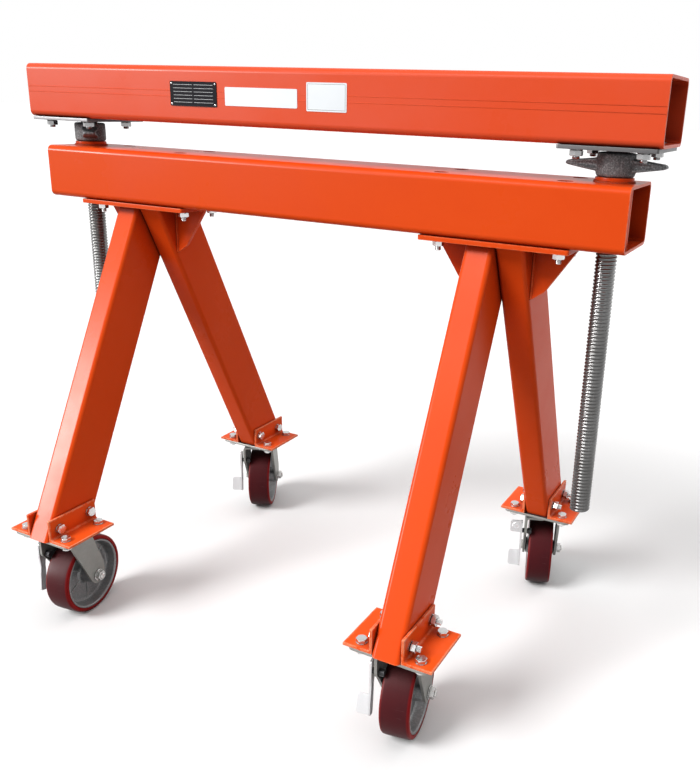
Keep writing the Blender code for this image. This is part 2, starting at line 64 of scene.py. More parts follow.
Pair = tuple[float, float]
Triple = tuple[float, float, float]
Quad = tuple[float, float, float, float]
Colour = Triple
Piece = bpy.types.Object
Socket = bpy.types.NodeSocket

UP = Vector((0.0, 0.0, 1.0))
FRONTWARDS = (0, -1, 0)
TINY = 1e-6
SQUARE_ON = 0.99        # cosine over which a face or edge counts as square to an axis
HAIR = 0.0003           # left between two touching pieces
CREASE = 38.0           # edges over this many degrees count as sharp
BLUNT = 50.0            # the same for threads and castings
SPLAY = math.radians(25.9)
BEAM_WALL = 0.005
HEAD_BOLTS = (0.104, 0.042)  # half the head bolts' pitch, X and Y
QUARTER = math.pi / 2
PLATE_EDGE = 0.0008     # radii left on sharp edges
SOFT_EDGE = 0.0006
FINE_EDGE = 0.0003


class Plane(Enum):
    """The plane that an outline is drawn in."""

    YZ = "yz"
    XZ = "xz"

    def point(self, u: float, v: float, w: float) -> Vector:
        """Place (u, v) in this plane, w along its normal."""
        return Vector((w, u, v)) if self is Plane.YZ else Vector((u, w, v))


class Way(Enum):
    """A way along an axis, whose name is part of node names."""

    @property
    def word(self) -> str:
        """Its word in node names."""
        return self.name.lower()


class End(Way):
    """Which leg of a frame, by the way it reaches in Y."""

    FRONT = -1
    BACK = 1


class Side(Way):
    """Which frame or jack, by the way it stands in X."""

    LEFT = -1
    RIGHT = 1


# --- bench: modelling by operators ---
def only(obj: Piece) -> None:
    """Select obj alone and make it active."""
    bpy.ops.object.select_all(action="DESELECT")
    obj.select_set(True)
    bpy.context.view_layer.objects.active = obj


@contextmanager
def editing(obj: Piece) -> Iterator[None]:
    """Open obj in edit mode with nothing selected, and leave it again.

    Args:
        obj: The mesh object to edit.
    """
    only(obj)
    bpy.ops.object.mode_set(mode="EDIT")
    bpy.ops.mesh.select_mode(type="VERT")
    bpy.ops.mesh.select_all(action="DESELECT")
    try:
        yield
    finally:
        bpy.ops.object.mode_set(mode="OBJECT")


def pick(obj: Piece, kind: str, test: Callable[[object], bool]) -> int:
    """Select the faces, edges or verts of the open mesh that pass a test.

    Args:
        obj: The object in edit mode.
        kind: FACE, EDGE or VERT.
        test: Takes a bmesh element and says whether it is wanted.

    Returns:
        How many were selected.
    """
    bpy.ops.mesh.select_all(action="DESELECT")
    bpy.ops.mesh.select_mode(type=kind)
    shape = bmesh.from_edit_mesh(obj.data)
    elements = {"FACE": shape.faces, "EDGE": shape.edges, "VERT": shape.verts}[kind]
    wanted = [element for element in elements if test(element)]
    for element in wanted:
        element.select_set(True)
    bmesh.update_edit_mesh(obj.data)
    return len(wanted)


def along(edge: bmesh.types.BMEdge, axis: int) -> bool:
    """Whether an edge runs along a main axis."""
    line = edge.verts[1].co - edge.verts[0].co
    return line.length > TINY and abs(line[axis]) > SQUARE_ON * line.length


def facing(face: bmesh.types.BMFace, way: Triple) -> bool:
    """Whether a face looks a given way."""
    return face.normal.dot(Vector(way)) > SQUARE_ON


def everything() -> None:
    """Select the whole of the open mesh."""
    bpy.ops.mesh.select_all(action="SELECT")


def ease(radius: float, steps: int, points: bool = False) -> None:
    """Round the selected edges of the open mesh, or its selected corners."""
    bpy.ops.mesh.bevel(offset=radius, segments=steps, affect="VERTICES" if points else "EDGES")


def extrude(offset: Sequence[float]) -> None:
    """Extrude what is selected in the open mesh."""
    bpy.ops.mesh.extrude_region_move(TRANSFORM_OT_translate={"value": offset})


def primitive(name: str, kind: str, **settings: object) -> Piece:
    """Start a piece from one of Blender's primitives, with its place applied to its mesh.

    Args:
        name: The piece's name.
        kind: The primitive, such as cube.
        **settings: The primitive's own values.

    Returns:
        The new object.
    """
    bpy.ops.object.select_all(action="DESELECT")
    getattr(bpy.ops.mesh, f"primitive_{kind}_add")(**settings)
    obj = bpy.context.active_object
    obj.name = name
    bpy.ops.object.transform_apply(location=True, rotation=True, scale=True)
    return obj


def block(name: str, low: Sequence[float], high: Sequence[float]) -> Piece:
    """Start a piece from a cube that fills a box.

    Args:
        name: The piece's name.
        low: The box's lowest corner.
        high: The box's highest corner.

    Returns:
        The new object.
    """
    low, high = Vector(low), Vector(high)
    return primitive(name, "cube", size=1.0, location=(low + high) / 2, scale=high - low)


def drum(name: str, radius: float, bottom: float, top: float, sides: int = 48,
         centre: Pair = (0.0, 0.0)) -> Piece:
    """Start a piece from a cylinder along Z.

    Args:
        name: The piece's name.
        radius: Its radius, to the corners.
        bottom: Its lower end.
        top: Its upper end.
        sides: How many sides it has.
        centre: Its place in X and Y.

    Returns:
        The new object.
    """
    place = (centre[0], centre[1], (top + bottom) / 2)
    return primitive(name, "cylinder", vertices=sides, radius=radius, depth=top - bottom, location=place)


def trace(name: str, points: Sequence[Vector], closed: bool = False) -> Piece:
    """Draw a line of edges by extruding one vertex from point to point.

    Args:
        name: The piece's name.
        points: The corners in order.
        closed: Whether to join the ends and fill the face.

    Returns:
        The new object.
    """
    obj = primitive(name, "plane", size=0.001, location=points[0])
    with editing(obj):
        everything()
        bpy.ops.mesh.merge(type="CENTER")
        for start, end in zip(points, points[1:]):
            extrude(Vector(end) - Vector(start))
        if closed:
            ends = (Vector(points[0]), Vector(points[-1]))
            pick(obj, "VERT", lambda vert: min((vert.co - end).length for end in ends) < TINY)
            bpy.ops.mesh.edge_face_add()
            everything()
            bpy.ops.mesh.edge_face_add()
    return obj


def plate(name: str, plane: Plane, outline: Sequence[Pair], low: float, high: float,
          corner: float = 0.0, wall: float = 0.0) -> Piece:
    """Cut a flat plate: trace its outline, round its corners and extrude its thickness.

    Args:
        name: The piece's name.
        plane: The plane of the outline.
        outline: Its corners, as (u, v).
        low: Where the plate starts along the plane's normal.
        high: Where it ends.
        corner: The radius of its corners.
        wall: Width of the rim left when its middle is cut out.

    Returns:
        The new object.
    """
    obj = trace(name, [plane.point(u, v, low) for u, v in outline], closed=True)
    with editing(obj):
        everything()
        if corner:
            ease(corner, 4, points=True)
            everything()
        if wall:
            bpy.ops.mesh.inset(thickness=wall)
            bpy.ops.mesh.delete(type="FACE")
            everything()
        extrude(plane.point(0, 0, high - low))
        tidy_shell()
    return obj


def tidy_shell() -> None:
    """Merge doubles and point the faces of the open mesh outwards."""
    everything()
    bpy.ops.mesh.remove_doubles(threshold=TINY)
    bpy.ops.mesh.normals_make_consistent(inside=False)


def turned(name: str, profile: Sequence[Pair], steps: int = 48, ring: bool = False) -> Piece:
    """Turn a profile about Z, as on a lathe.

    Args:
        name: The piece's name.
        profile: (radius, height) corners.
        steps: Segments round the turn.
        ring: Whether the profile closes on itself instead of on the axis.

    Returns:
        The new object.
    """
    points = [Vector((radius, 0.0, height)) for radius, height in profile]
    if ring:
        points.append(points[0])
    obj = trace(name, points)
    with editing(obj):
        everything()
        spin(steps)
        tidy_shell()
    return obj


def spin(steps: int, dupli: bool = False) -> None:
    """Turn what is selected about Z, as a skin or as separate copies."""
    bpy.ops.mesh.spin(steps=steps, dupli=dupli, angle=math.tau, center=(0, 0, 0), axis=UP)


def flat_ring(inner: float, outer: float, thick: float, steps: int = 32, foot: float = 0.0) -> Piece:
    """Turn a plain washer that stands at the height of its foot."""
    profile = [(inner, foot), (outer, foot), (outer, foot + thick), (inner, foot + thick)]
    return turned("washer", profile, steps=steps, ring=True)


def modify(obj: Piece, kind: str, **settings: object) -> Piece:
    """Add one modifier with its settings and apply it.

    Args:
        obj: The piece.
        kind: Blender's modifier type.
        **settings: The modifier's values.

    Returns:
        The same object.
    """
    only(obj)
    modifier = obj.modifiers.new(kind.lower(), kind)
    for key, value in settings.items():
        setattr(modifier, key, value)
    bpy.ops.object.modifier_apply(modifier=modifier.name)
    return obj


def combine(obj: Piece, tool: Piece, how: str = "DIFFERENCE") -> Piece:
    """Apply an exact boolean with a tool, which is used up."""
    modify(obj, "BOOLEAN", operation=how, solver="EXACT", object=tool)
    bpy.data.objects.remove(tool, do_unlink=True)
    return obj


def joined(name: str, pieces: Sequence[Piece]) -> Piece:
    """Join separate shells into one piece."""
    only(pieces[0])
    for piece in pieces[1:]:
        piece.select_set(True)
    bpy.ops.object.join()
    pieces[0].name = name
    return pieces[0]


def turn(obj: Piece, angle: float, axis: str) -> Piece:
    """Turn a whole mesh about the origin, in edit mode."""
    with editing(obj):
        everything()
        bpy.ops.transform.rotate(value=-angle, orient_axis=axis, center_override=(0, 0, 0))
    return obj


def shift(obj: Piece, offset: Sequence[float]) -> Piece:
    """Move a whole mesh, in edit mode."""
    with editing(obj):
        everything()
        bpy.ops.transform.translate(value=offset)
    return obj


def repeated(obj: Piece, count: int, step: Triple) -> Piece:
    """Repeat a piece in a row, one step apart."""
    return modify(obj, "ARRAY", count=count, use_relative_offset=False, use_constant_offset=True,
                  constant_offset_displace=step)


def smoothed(obj: Piece, crease: float | None = None) -> Piece:
    """Shade a piece smooth, all over or but for edges over a crease in degrees."""
    only(obj)
    if crease is None:
        bpy.ops.object.shade_smooth()
    else:
        bpy.ops.object.shade_smooth_by_angle(angle=math.radians(crease))
    return obj


def finished(obj: Piece, edge: float = 0.0, segments: int = 2) -> Piece:
    """Round the sharp edges and shade the rest smooth.

    Args:
        obj: The piece.
        edge: The radius left on its sharp edges.
        segments: Segments in that radius.

    Returns:
        The same object.
    """
    if edge:
        modify(obj, "BEVEL", width=edge, segments=segments, limit_method="ANGLE",
               angle_limit=math.radians(CREASE), miter_outer="MITER_ARC")
    return modify(smoothed(obj, CREASE), "WEIGHTED_NORMAL", keep_sharp=True, weight=60)


# --- shader graphs ---
class Graph:
    """A shader node tree with short ways to add nodes and links."""

    def __init__(self, tree: bpy.types.NodeTree) -> None:
        """Wrap a node tree."""
        self.tree = tree

    def node(self, kind: str, links: dict[str, object] | None = None, **values: object) -> bpy.types.Node:
        """Add one node.

        Args:
            kind: The node's type, without its ShaderNode prefix.
            links: Socket name or index to a constant or to an output socket.
            **values: The node's own properties.

        Returns:
            The new node.
        """
        made = self.tree.nodes.new(f"ShaderNode{kind}")
        for key, value in values.items():
            setattr(made, key, value)
        for key, value in (links or {}).items():
            if isinstance(value, Socket):
                self.tree.links.new(value, made.inputs[key])
            else:
                made.inputs[key].default_value = value
        return made

    def mix(self, factor: object, first: object, second: object) -> Socket:
        """Blend two colours and give the result's socket."""
        made = self.node("Mix", data_type="RGBA")
        for index, value in ((0, factor), (6, first), (7, second)):
            if isinstance(value, Socket):
                self.tree.links.new(value, made.inputs[index])
            else:
                made.inputs[index].default_value = (*value, 1.0) if isinstance(value, tuple) else value
        return made.outputs[2]

    def math(self, operation: str, first: object, second: object = 0.0,
             clamp: bool = False) -> Socket:
        """Work out one sum and give its socket."""
        return self.node("Math", {0: first, 1: second}, operation=operation, use_clamp=clamp).outputs[0]

    def ranged(self, value: object, low: float, high: float, to_low: float = 0.0,
               to_high: float = 1.0) -> Socket:
        """Map a value from one range to another, clamped."""
        links = {"Value": value, "From Min": low, "From Max": high, "To Min": to_low, "To Max": to_high}
        return self.node("MapRange", links).outputs["Result"]

    def noise(self, vector: object, scale: object, detail: float = 3.0,
              rough: float = 0.55) -> Socket:
        """Add a noise texture and give its value."""
        links = {"Vector": vector, "Scale": scale, "Detail": detail, "Roughness": rough}
        return self.node("TexNoise", links).outputs[0]

    def effect(self, tree: bpy.types.NodeTree, **values: object) -> bpy.types.Node:
        """Add one shared effect, with values or links on its named inputs."""
        return self.node("Group", values, node_tree=tree)


def new_material(name: str) -> tuple[bpy.types.Material, Graph, bpy.types.Node]:
    """Start a material and give it, its graph and its shader."""
    mat = bpy.data.materials.new(name)
    mat.use_nodes = True
    return mat, Graph(mat.node_tree), mat.node_tree.nodes["Principled BSDF"]


class Effects:
    """The shared effects, each built once as a node group."""

    def __init__(self) -> None:
        """Build every group."""
        self.wear = self._edge_wear()
        self.grain = self._grain()
        self.dust = self._dust()
        # Painted shade: the first darkens where neighbours shut light out, the second inside a piece's own
        # walls.
        self.crevice = self._shut_in("crevice", distance=0.02, open_level=0.78, shut_level=0.22, alone=False)
        self.hollow = self._shut_in("hollow", distance=0.25, open_level=0.80, shut_level=0.30, alone=True)

    def _group(self, name: str, **inputs: float | None) -> tuple[Graph, bpy.types.NodeOutputs]:
        """Start an empty group.

        Args:
            name: The group's name.
            **inputs: Each input's default, or None for a vector.

        Returns:
            The group's graph and the outputs of its input node.
        """
        tree = bpy.data.node_groups.new(name, "ShaderNodeTree")
        for label, default in inputs.items():
            kind = "NodeSocketVector" if default is None else "NodeSocketFloat"
            socket = tree.interface.new_socket(name=label, in_out="INPUT", socket_type=kind)
            if default is not None:
                socket.default_value = default
        return Graph(tree), tree.nodes.new("NodeGroupInput").outputs

    def _closed(self, graph: Graph, **outputs: Socket) -> bpy.types.NodeTree:
        """Give a group its outputs and return its tree."""
        for label in outputs:
            graph.tree.interface.new_socket(name=label, in_out="OUTPUT", socket_type="NodeSocketFloat")
        sink = graph.tree.nodes.new("NodeGroupOutput")
        for label, value in outputs.items():
            graph.tree.links.new(value, sink.inputs[label])
        return graph.tree

    def _edge_wear(self) -> bpy.types.NodeTree:
        """Mask of rubbed edges and painted edge highlight: where a rounded normal leaves the true one,
        broken up by noise.
        """
        graph, given = self._group("edge_wear", Vector=None, Radius=0.002, Amount=0.5, Breakup=90.0)
        rounded = graph.node("Bevel", {"Radius": given["Radius"]}, samples=4).outputs[0]
        true = graph.node("NewGeometry").outputs["Normal"]
        same = graph.node("VectorMath", {0: rounded, 1: true}, operation="DOT_PRODUCT").outputs["Value"]
        edge = graph.ranged(graph.math("SUBTRACT", 1.0, same), 0.01, 0.22)
        noise = graph.noise(given["Vector"], given["Breakup"], 4.0, 0.6)
        broken = graph.math("MULTIPLY", edge, graph.ranged(noise, 0.35, 0.65))
        return self._closed(graph, Mask=graph.math("MULTIPLY", broken, given["Amount"], clamp=True))

    def _grain(self) -> bpy.types.NodeTree:
        """Fine surface relief with a broad slow variation."""
        graph, given = self._group("surface_grain", Vector=None, Fine=700.0, Broad=6.0)
        fine = graph.noise(given["Vector"], given["Fine"], 2.0, 0.5)
        broad = graph.noise(given["Vector"], given["Broad"], 5.0, 0.6)
        return self._closed(graph, Relief=fine, Cloud=graph.ranged(broad, 0.3, 0.7))

    def _dust(self) -> bpy.types.NodeTree:
        """Mask of settled dust on faces that look up."""
        graph, given = self._group("settled_dust", Vector=None, Amount=0.3)
        up = graph.node("SeparateXYZ", {0: graph.node("NewGeometry").outputs["Normal"]}).outputs["Z"]
        level = graph.ranged(up, 0.55, 1.0)
        patch = graph.ranged(graph.noise(given["Vector"], 26.0, 5.0, 0.65), 0.4, 0.75)
        settled = graph.math("MULTIPLY", level, patch)
        return self._closed(graph, Mask=graph.math("MULTIPLY", settled, given["Amount"], clamp=True))

    def _shut_in(self, name: str, distance: float, open_level: float, shut_level: float,
                 alone: bool) -> bpy.types.NodeTree:
        """Mask of painted shade, in places that light seldom reaches.

        Args:
            name: The group's name.
            distance: How far off a surface still shuts a place in.
            open_level: How open a place is where the mask starts.
            shut_level: How open it is where the mask is full.
            alone: Whether only the piece itself shuts it in, as inside a tube.

        Returns:
            The group's tree.
        """
        graph, given = self._group(name, Distance=distance, Amount=0.5)
        openness = graph.node("AmbientOcclusion", {"Distance": given["Distance"]},
                              samples=6, only_local=alone)
        shut = graph.ranged(openness.outputs["AO"], open_level, shut_level)
        return self._closed(graph, Mask=graph.math("MULTIPLY", shut, given["Amount"], clamp=True))


DUST = (0.42, 0.38, 0.34)
DUSTY_ROUGH = 0.3       # roughness that full dust adds
COAT_ROUGH = 0.12


@dataclass(frozen=True)
class Finish:
    """One finish of the trestle, dressed on its pieces as a node material.

    Attributes:
        slot: The record's material slot.
        colour: Its base colour, linear.
        worn: The colour of its edges, part rubbed wear and part painted highlight.
        clouded: The colour that it drifts to in broad patches.
        roughness: Low and high roughness.
        metallic: How metallic it is.
        fine: Scale of its fine relief, per metre.
        relief: Height of that relief in metres.
        wear: How much its edges are rubbed and lit by painted highlight.
        wear_radius: How far in from an edge the rubbing and the painted highlight go.
        dust: How much dust lies on it.
        coat: Clear coat weight.
        specular: Specular level of its base.
        shade: The painted shade colour that it sinks to in shut-in places.
        crevice: How far it sinks to that painted shade where neighbours shut it in.
        reach: How far off a neighbour still shuts a place in.
        hollow: How far it sinks to that painted shade inside a piece.
        local: Whether its pattern follows each piece's own coordinates.
    """

    slot: str
    colour: Colour
    worn: Colour
    clouded: Colour
    roughness: Pair
    metallic: float = 0.0
    fine: float = 700.0
    relief: float = 0.00002
    wear: float = 0.4
    wear_radius: float = 0.0015
    dust: float = 0.1
    coat: float = 0.0
    specular: float = 0.5
    shade: Colour = (0.02, 0.02, 0.022)
    crevice: float = 0.6
    reach: float = 0.015
    hollow: float = 0.0
    local: bool = False

    def material(self, name: str, effects: Effects) -> bpy.types.Material:
        """Build this finish as a material.

        Args:
            name: The material's name.
            effects: The shared node groups.

        Returns:
            The new material.
        """
        mat, graph, shader = new_material(name)
        place = self.place(graph)
        grain = graph.effect(effects.grain, Vector=place, Fine=self.fine)
        wear = graph.effect(effects.wear, Vector=place, Radius=self.wear_radius, Amount=self.wear)
        dust = graph.effect(effects.dust, Vector=place, Amount=self.dust).outputs["Mask"]
        crevice = graph.effect(effects.crevice, Distance=self.reach, Amount=self.crevice)
        colour = graph.mix(grain.outputs["Cloud"], self.colour, self.clouded)
        colour = self.pattern(graph, place, colour)
        # Edges: rubbed wear and a painted highlight.
        colour = graph.mix(wear.outputs["Mask"], colour, self.worn)
        colour = graph.mix(dust, colour, DUST)
        # Painted shade: sink towards the shade colour where neighbours shut the surface in, and inside the
        # piece's own hollows.
        colour = graph.mix(crevice.outputs["Mask"], colour, self.shade)
        if self.hollow:
            hollow = graph.effect(effects.hollow, Amount=self.hollow)
            colour = graph.mix(hollow.outputs["Mask"], colour, self.shade)
        rough = graph.ranged(grain.outputs["Cloud"], 0.0, 1.0, *self.roughness)
        rough = graph.math("ADD", rough, graph.math("MULTIPLY", dust, DUSTY_ROUGH), clamp=True)
        relief = {"Height": self.height(graph, place, grain), "Distance": self.relief, "Strength": 1.0}
        bump = graph.node("Bump", relief)
        for value, label in ((colour, "Base Color"), (rough, "Roughness"), (bump.outputs[0], "Normal")):
            mat.node_tree.links.new(value, shader.inputs[label])
        for label, number in (("Metallic", self.metallic), ("Coat Weight", self.coat),
                              ("Coat Roughness", COAT_ROUGH), ("Specular IOR Level", self.specular)):
            shader.inputs[label].default_value = number
        return mat

    def place(self, graph: Graph) -> Socket:
        """The coordinates that the pattern reads."""
        if self.local:
            return graph.node("Attribute", attribute_name=OWN_PLACE).outputs["Vector"]
        return graph.node("TexCoord").outputs["Object"]

    def pattern(self, _graph: Graph, _place: object, colour: object) -> Socket:
        """Extra colouring of this finish; plain by default."""
        return colour

    def height(self, _graph: Graph, _place: object, grain: bpy.types.Node) -> Socket:
        """The relief that feeds the bump; the fine grain by default."""
        return grain.outputs["Relief"]


@dataclass(frozen=True)
class Galvanised(Finish):
    """Zinc with the faint spangle of a hot-dipped coat; spangle is its crystals per metre."""

    spangle: float = 160.0

    def pattern(self, graph: Graph, place: object, colour: object) -> Socket:
        """Tint each crystal a little."""
        cell = graph.node("TexVoronoi", {"Vector": place, "Scale": self.spangle})
        shade = graph.node("SeparateColor", {0: cell.outputs["Color"]}).outputs[0]
        return graph.mix(graph.ranged(shade, 0.0, 1.0, 0.0, 0.45), colour, self.clouded)


@dataclass(frozen=True)
class SandCast(Finish):
    """Cast iron with a coarse sand skin; mottle is how much it speckles."""

    mottle: float = 0.5

    def pattern(self, graph: Graph, place: object, colour: object) -> Socket:
        """Speckle the skin where its grains catch the light."""
        speck = graph.ranged(graph.noise(place, 330.0, 4.0, 0.75), 0.48, 0.62, 0.0, self.mottle)
        return graph.mix(speck, colour, self.worn)

    def height(self, graph: Graph, place: object, grain: bpy.types.Node) -> Socket:
        """Pits over the fine grain."""
        pits = graph.ranged(graph.noise(place, 420.0, 4.0, 0.7), 0.35, 0.65)
        return graph.math("ADD", grain.outputs["Relief"], graph.math("MULTIPLY", pits, 1.6))


@dataclass(frozen=True)
class Tread(Finish):
    """Cast polyurethane: clearer at its edges, with mould lines and scuffs across it.

    Attributes:
        edge_colour: The colour of its shoulders.
        half_width: Half its width along the axle.
    """

    edge_colour: Colour = (0.30, 0.009, 0.009)
    half_width: float = 0.025

    def _around(self, graph: Graph, place: object) -> tuple[object, object]:
        """The turn about the axle and the place along it."""
        parts = graph.node("SeparateXYZ", {0: place})
        return graph.math("ARCTAN2", parts.outputs["Z"], parts.outputs["Y"]), parts.outputs["X"]

    def pattern(self, graph: Graph, place: object, colour: object) -> Socket:
        """Redden the shoulders and draw the scuffs."""
        turn_, across = self._around(graph, place)
        reach = graph.math("ABSOLUTE", across)
        edge = graph.ranged(reach, self.half_width * 0.80, self.half_width * 0.99)
        colour = graph.mix(edge, colour, self.edge_colour)
        stretch = {0: graph.math("MULTIPLY", turn_, 15.0), 1: graph.math("MULTIPLY", across, 9.0)}
        vector = graph.node("CombineXYZ", stretch).outputs[0]
        streak = graph.ranged(graph.noise(vector, 3.0, 4.0, 0.7), 0.62, 0.72)
        patch = graph.ranged(graph.noise(place, 24.0), 0.45, 0.62)
        scuff = graph.math("MULTIPLY", graph.math("MULTIPLY", streak, patch), 0.4)
        return graph.mix(scuff, colour, self.worn)

    def height(self, graph: Graph, place: object, grain: bpy.types.Node) -> Socket:
        """Shallow lines across the tread."""
        turn_, _ = self._around(graph, place)
        lines = graph.math("SINE", graph.math("MULTIPLY", turn_, 170.0))
        return graph.math("ADD", grain.outputs["Relief"], graph.math("MULTIPLY", lines, 0.25))


@dataclass(frozen=True)
class Drawn(Finish):
    """Rolled thread steel: oil-dark patches and bright crests."""

    def pattern(self, graph: Graph, place: object, colour: object) -> Socket:
        """Streak it along its length."""
        stretched = graph.node("Mapping", {"Vector": place, "Scale": (60.0, 60.0, 4.0)}).outputs[0]
        return graph.mix(graph.ranged(graph.noise(stretched, 1.0, 4.0), 0.42, 0.7), colour, self.clouded)


# In every finish below, the shade colour and the amounts that sink a surface to it are painted shade; the
# colour laid on edges is part rubbed wear, part painted highlight.
PAINT = Finish("orange_paint", (0.87, 0.086, 0.010), (0.98, 0.30, 0.13), (0.84, 0.074, 0.006), (0.25, 0.35),
               fine=520.0, relief=0.00003, wear=1.10, wear_radius=0.0034, dust=0.03, specular=0.06,
               shade=(0.10, 0.008, 0.006), crevice=0.85, reach=0.06)
LOW_PAINT = replace(PAINT, wear=0.8, crevice=0.5, reach=0.025, hollow=0.75)
# A paler, bluer copy of the paint for the lifting beam, standing in for painted reflection on its faces; its
# seam ridges share it.
TOP_BEAM_REFLECTION_TINT = replace(PAINT, colour=(0.85, 0.086, 0.022), clouded=(0.84, 0.098, 0.038), wear=0.50, hollow=0.45)
SEAM_PAINT = replace(TOP_BEAM_REFLECTION_TINT, hollow=0.0, crevice=0.0, wear=0.0, clouded=(0.86, 0.12, 0.05))
# A brighter copy of the paint for the foot brackets, standing in for light on their tops, with strong
# painted highlights along their edges.
BRACKET_LIT_PAINT = replace(PAINT, colour=(0.92, 0.095, 0.010), clouded=(0.93, 0.110, 0.014),
                        worn=(1.0, 0.42, 0.24), wear=3.0, wear_radius=0.0055, crevice=0.70, reach=0.03)
# A brighter copy of the paint for the guide collars, standing in for light on them, with little painted
# shade.
COLLAR_LIT_PAINT = replace(PAINT, colour=(0.92, 0.095, 0.010), crevice=0.3, reach=0.012)
# Zinc for the jack plates, darkened to stand in for the shade they sit in under the lifting beam.
SHADED_GALVANISED_PLATE = Galvanised("galvanised_plate", (0.105, 0.10, 0.102), (0.34, 0.34, 0.35), (0.07, 0.068, 0.07),
                        (0.34, 0.50), metallic=0.7, fine=400.0, relief=0.00003)
CASTER_ZINC = Galvanised("caster_zinc", (0.33, 0.33, 0.31), (0.62, 0.62, 0.60), (0.24, 0.24, 0.225),
                         (0.36, 0.50), metallic=0.7, fine=500.0, relief=0.00002, spangle=240.0, crevice=0.9,
                         reach=0.04, local=True)
BOLT = Finish("bright_fastener", (0.72, 0.72, 0.73), (0.90, 0.90, 0.91), (0.50, 0.49, 0.47), (0.16, 0.30),
              metallic=1.0, fine=900.0, relief=0.00001, dust=0.05, crevice=0.55, reach=0.004, local=True)
# A darker copy of the bright fastener for the jack plate bolts, standing in for the shade they sit in.
SHADED_JACK_FASTENER = replace(BOLT, colour=(0.40, 0.40, 0.405), clouded=(0.24, 0.235, 0.23), crevice=0.8, reach=0.008)
SPRING = Finish("bright_fastener", (0.05, 0.05, 0.055), (0.30, 0.30, 0.30), (0.03, 0.03, 0.03), (0.35, 0.5),
                metallic=0.6, local=True)
SCREW = Drawn("screw_steel", (0.20, 0.20, 0.20), (0.75, 0.75, 0.76), (0.10, 0.098, 0.095), (0.20, 0.36),
              metallic=0.9, fine=800.0, relief=0.00002, wear=0.8, wear_radius=0.0008, reach=0.006)
CAST = SandCast("cast_nut", (0.135, 0.138, 0.142), (0.50, 0.505, 0.51), (0.08, 0.083, 0.088), (0.46, 0.66),
                metallic=0.2, fine=300.0, relief=0.00035, wear=0.6, wear_radius=0.003, specular=0.35)
TREAD = Tread("tread_polyurethane", (0.105, 0.011, 0.014), (0.26, 0.12, 0.12), (0.064, 0.009, 0.012),
              (0.36, 0.52), fine=380.0, relief=0.00004, wear=0.0, dust=0.06, specular=0.08, half_width=0.026,
              shade=(0.012, 0.004, 0.004), crevice=0.9, reach=0.05, local=True)
CORE = SandCast("wheel_core_iron", (0.27, 0.275, 0.28), (0.62, 0.62, 0.61), (0.17, 0.172, 0.176),
                (0.32, 0.48), metallic=0.6, fine=350.0, relief=0.00004, wear=1.0, wear_radius=0.002,
                reach=0.015, crevice=0.1, mottle=0.2, local=True)
PEDAL = Finish("bright_pedal", (0.80, 0.80, 0.81), (0.95, 0.95, 0.95), (0.66, 0.66, 0.67), (0.24, 0.38),
               metallic=0.6, fine=600.0, relief=0.00002, reach=0.010, local=True)
PLATE_BLACK = Finish("nameplate_black", (0.006, 0.006, 0.009), (0.06, 0.06, 0.06), (0.009, 0.009, 0.012),
                     (0.30, 0.42), fine=900.0, relief=0.00001, wear=0.1, dust=0.0, specular=0.02,
                     crevice=0.0)
ETCHED = Finish("nameplate_black", (0.12, 0.12, 0.13), (0.2, 0.2, 0.2), (0.08, 0.08, 0.09), (0.3, 0.45),
                wear=0.0, dust=0.0, crevice=0.0)
LABEL = Finish("nameplate_black", (0.74, 0.78, 0.81), (0.9, 0.9, 0.9), (0.69, 0.73, 0.76), (0.35, 0.5),
               fine=800.0, relief=0.00001, wear=0.1, dust=0.0, crevice=0.0)


class Wardrobe:
    """Keeps one material for each finish, and puts it on pieces."""

    def __init__(self) -> None:
        """Start with the shared effects and no materials."""
        self.effects = Effects()
        self.made: dict[Finish, bpy.types.Material] = {}

    def dress(self, obj: Piece, finish: Finish) -> None:
        """Give a piece one finish."""
        if finish not in self.made:
            self.made[finish] = finish.material(f"{finish.slot}_{len(self.made)}", self.effects)
        obj.data.materials.clear()
        obj.data.materials.append(self.made[finish])


WARDROBE = Wardrobe()


def fitted(obj: Piece, finish: Finish, body: str, nodes: Sequence[str] = ()) -> Piece:
    """Dress a finished piece, make it ride on its body and stand for its nodes.

    Args:
        obj: The piece, in place.
        finish: Its finish.
        body: The body it moves with.
        nodes: The frame nodes it stands for.

    Returns:
        The same object.
    """
    WARDROBE.dress(obj, finish)
    if finish.local and OWN_PLACE not in obj.data.attributes:
        note_place(obj.data)
    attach(obj, body)
    if nodes:
        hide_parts(*nodes)
    LOG.info("%s rides on %s, %d faces", obj.name, body, len(obj.data.polygons))
    return obj


def note_place(mesh: bpy.types.Mesh) -> None:
    """Write each vertex's present place to an attribute of the mesh."""
    places = [value for vertex in mesh.vertices for value in vertex.co]
    mesh.attributes.new(OWN_PLACE, "FLOAT_VECTOR", "POINT").data.foreach_set("vector", places)


def stamped(pattern: Piece, name: str, place: Matrix) -> Piece:
    """Copy a pattern piece to a place, with its own mesh.

    Args:
        pattern: The piece modelled once at the origin.
        name: The copy's name.
        place: Where the copy goes.

    Returns:
        The copy.
    """
    mesh = pattern.data.copy()
    note_place(mesh)
    mesh.transform(place)
    obj = bpy.data.objects.new(name, mesh)
    bpy.context.scene.collection.objects.link(obj)
    return obj


def discard(*patterns: Piece) -> None:
    """Remove patterns once their copies are made."""
    for pattern in patterns:
        bpy.data.objects.remove(pattern, do_unlink=True)


def at(x: float, y: float, z: float) -> Matrix:
    """A move with no turn."""
    return Matrix.Translation((x, y, z))


def corners(half_x: float, half_y: float) -> list[Pair]:
    """The four corners of a rectangle about the origin."""
    return [(sx * half_x, sy * half_y) for sx in (-1, 1) for sy in (-1, 1)]


def middle(node: str) -> Vector:
    """The centre of a frame node's box."""
    low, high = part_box(node)
    return (low + high) / 2


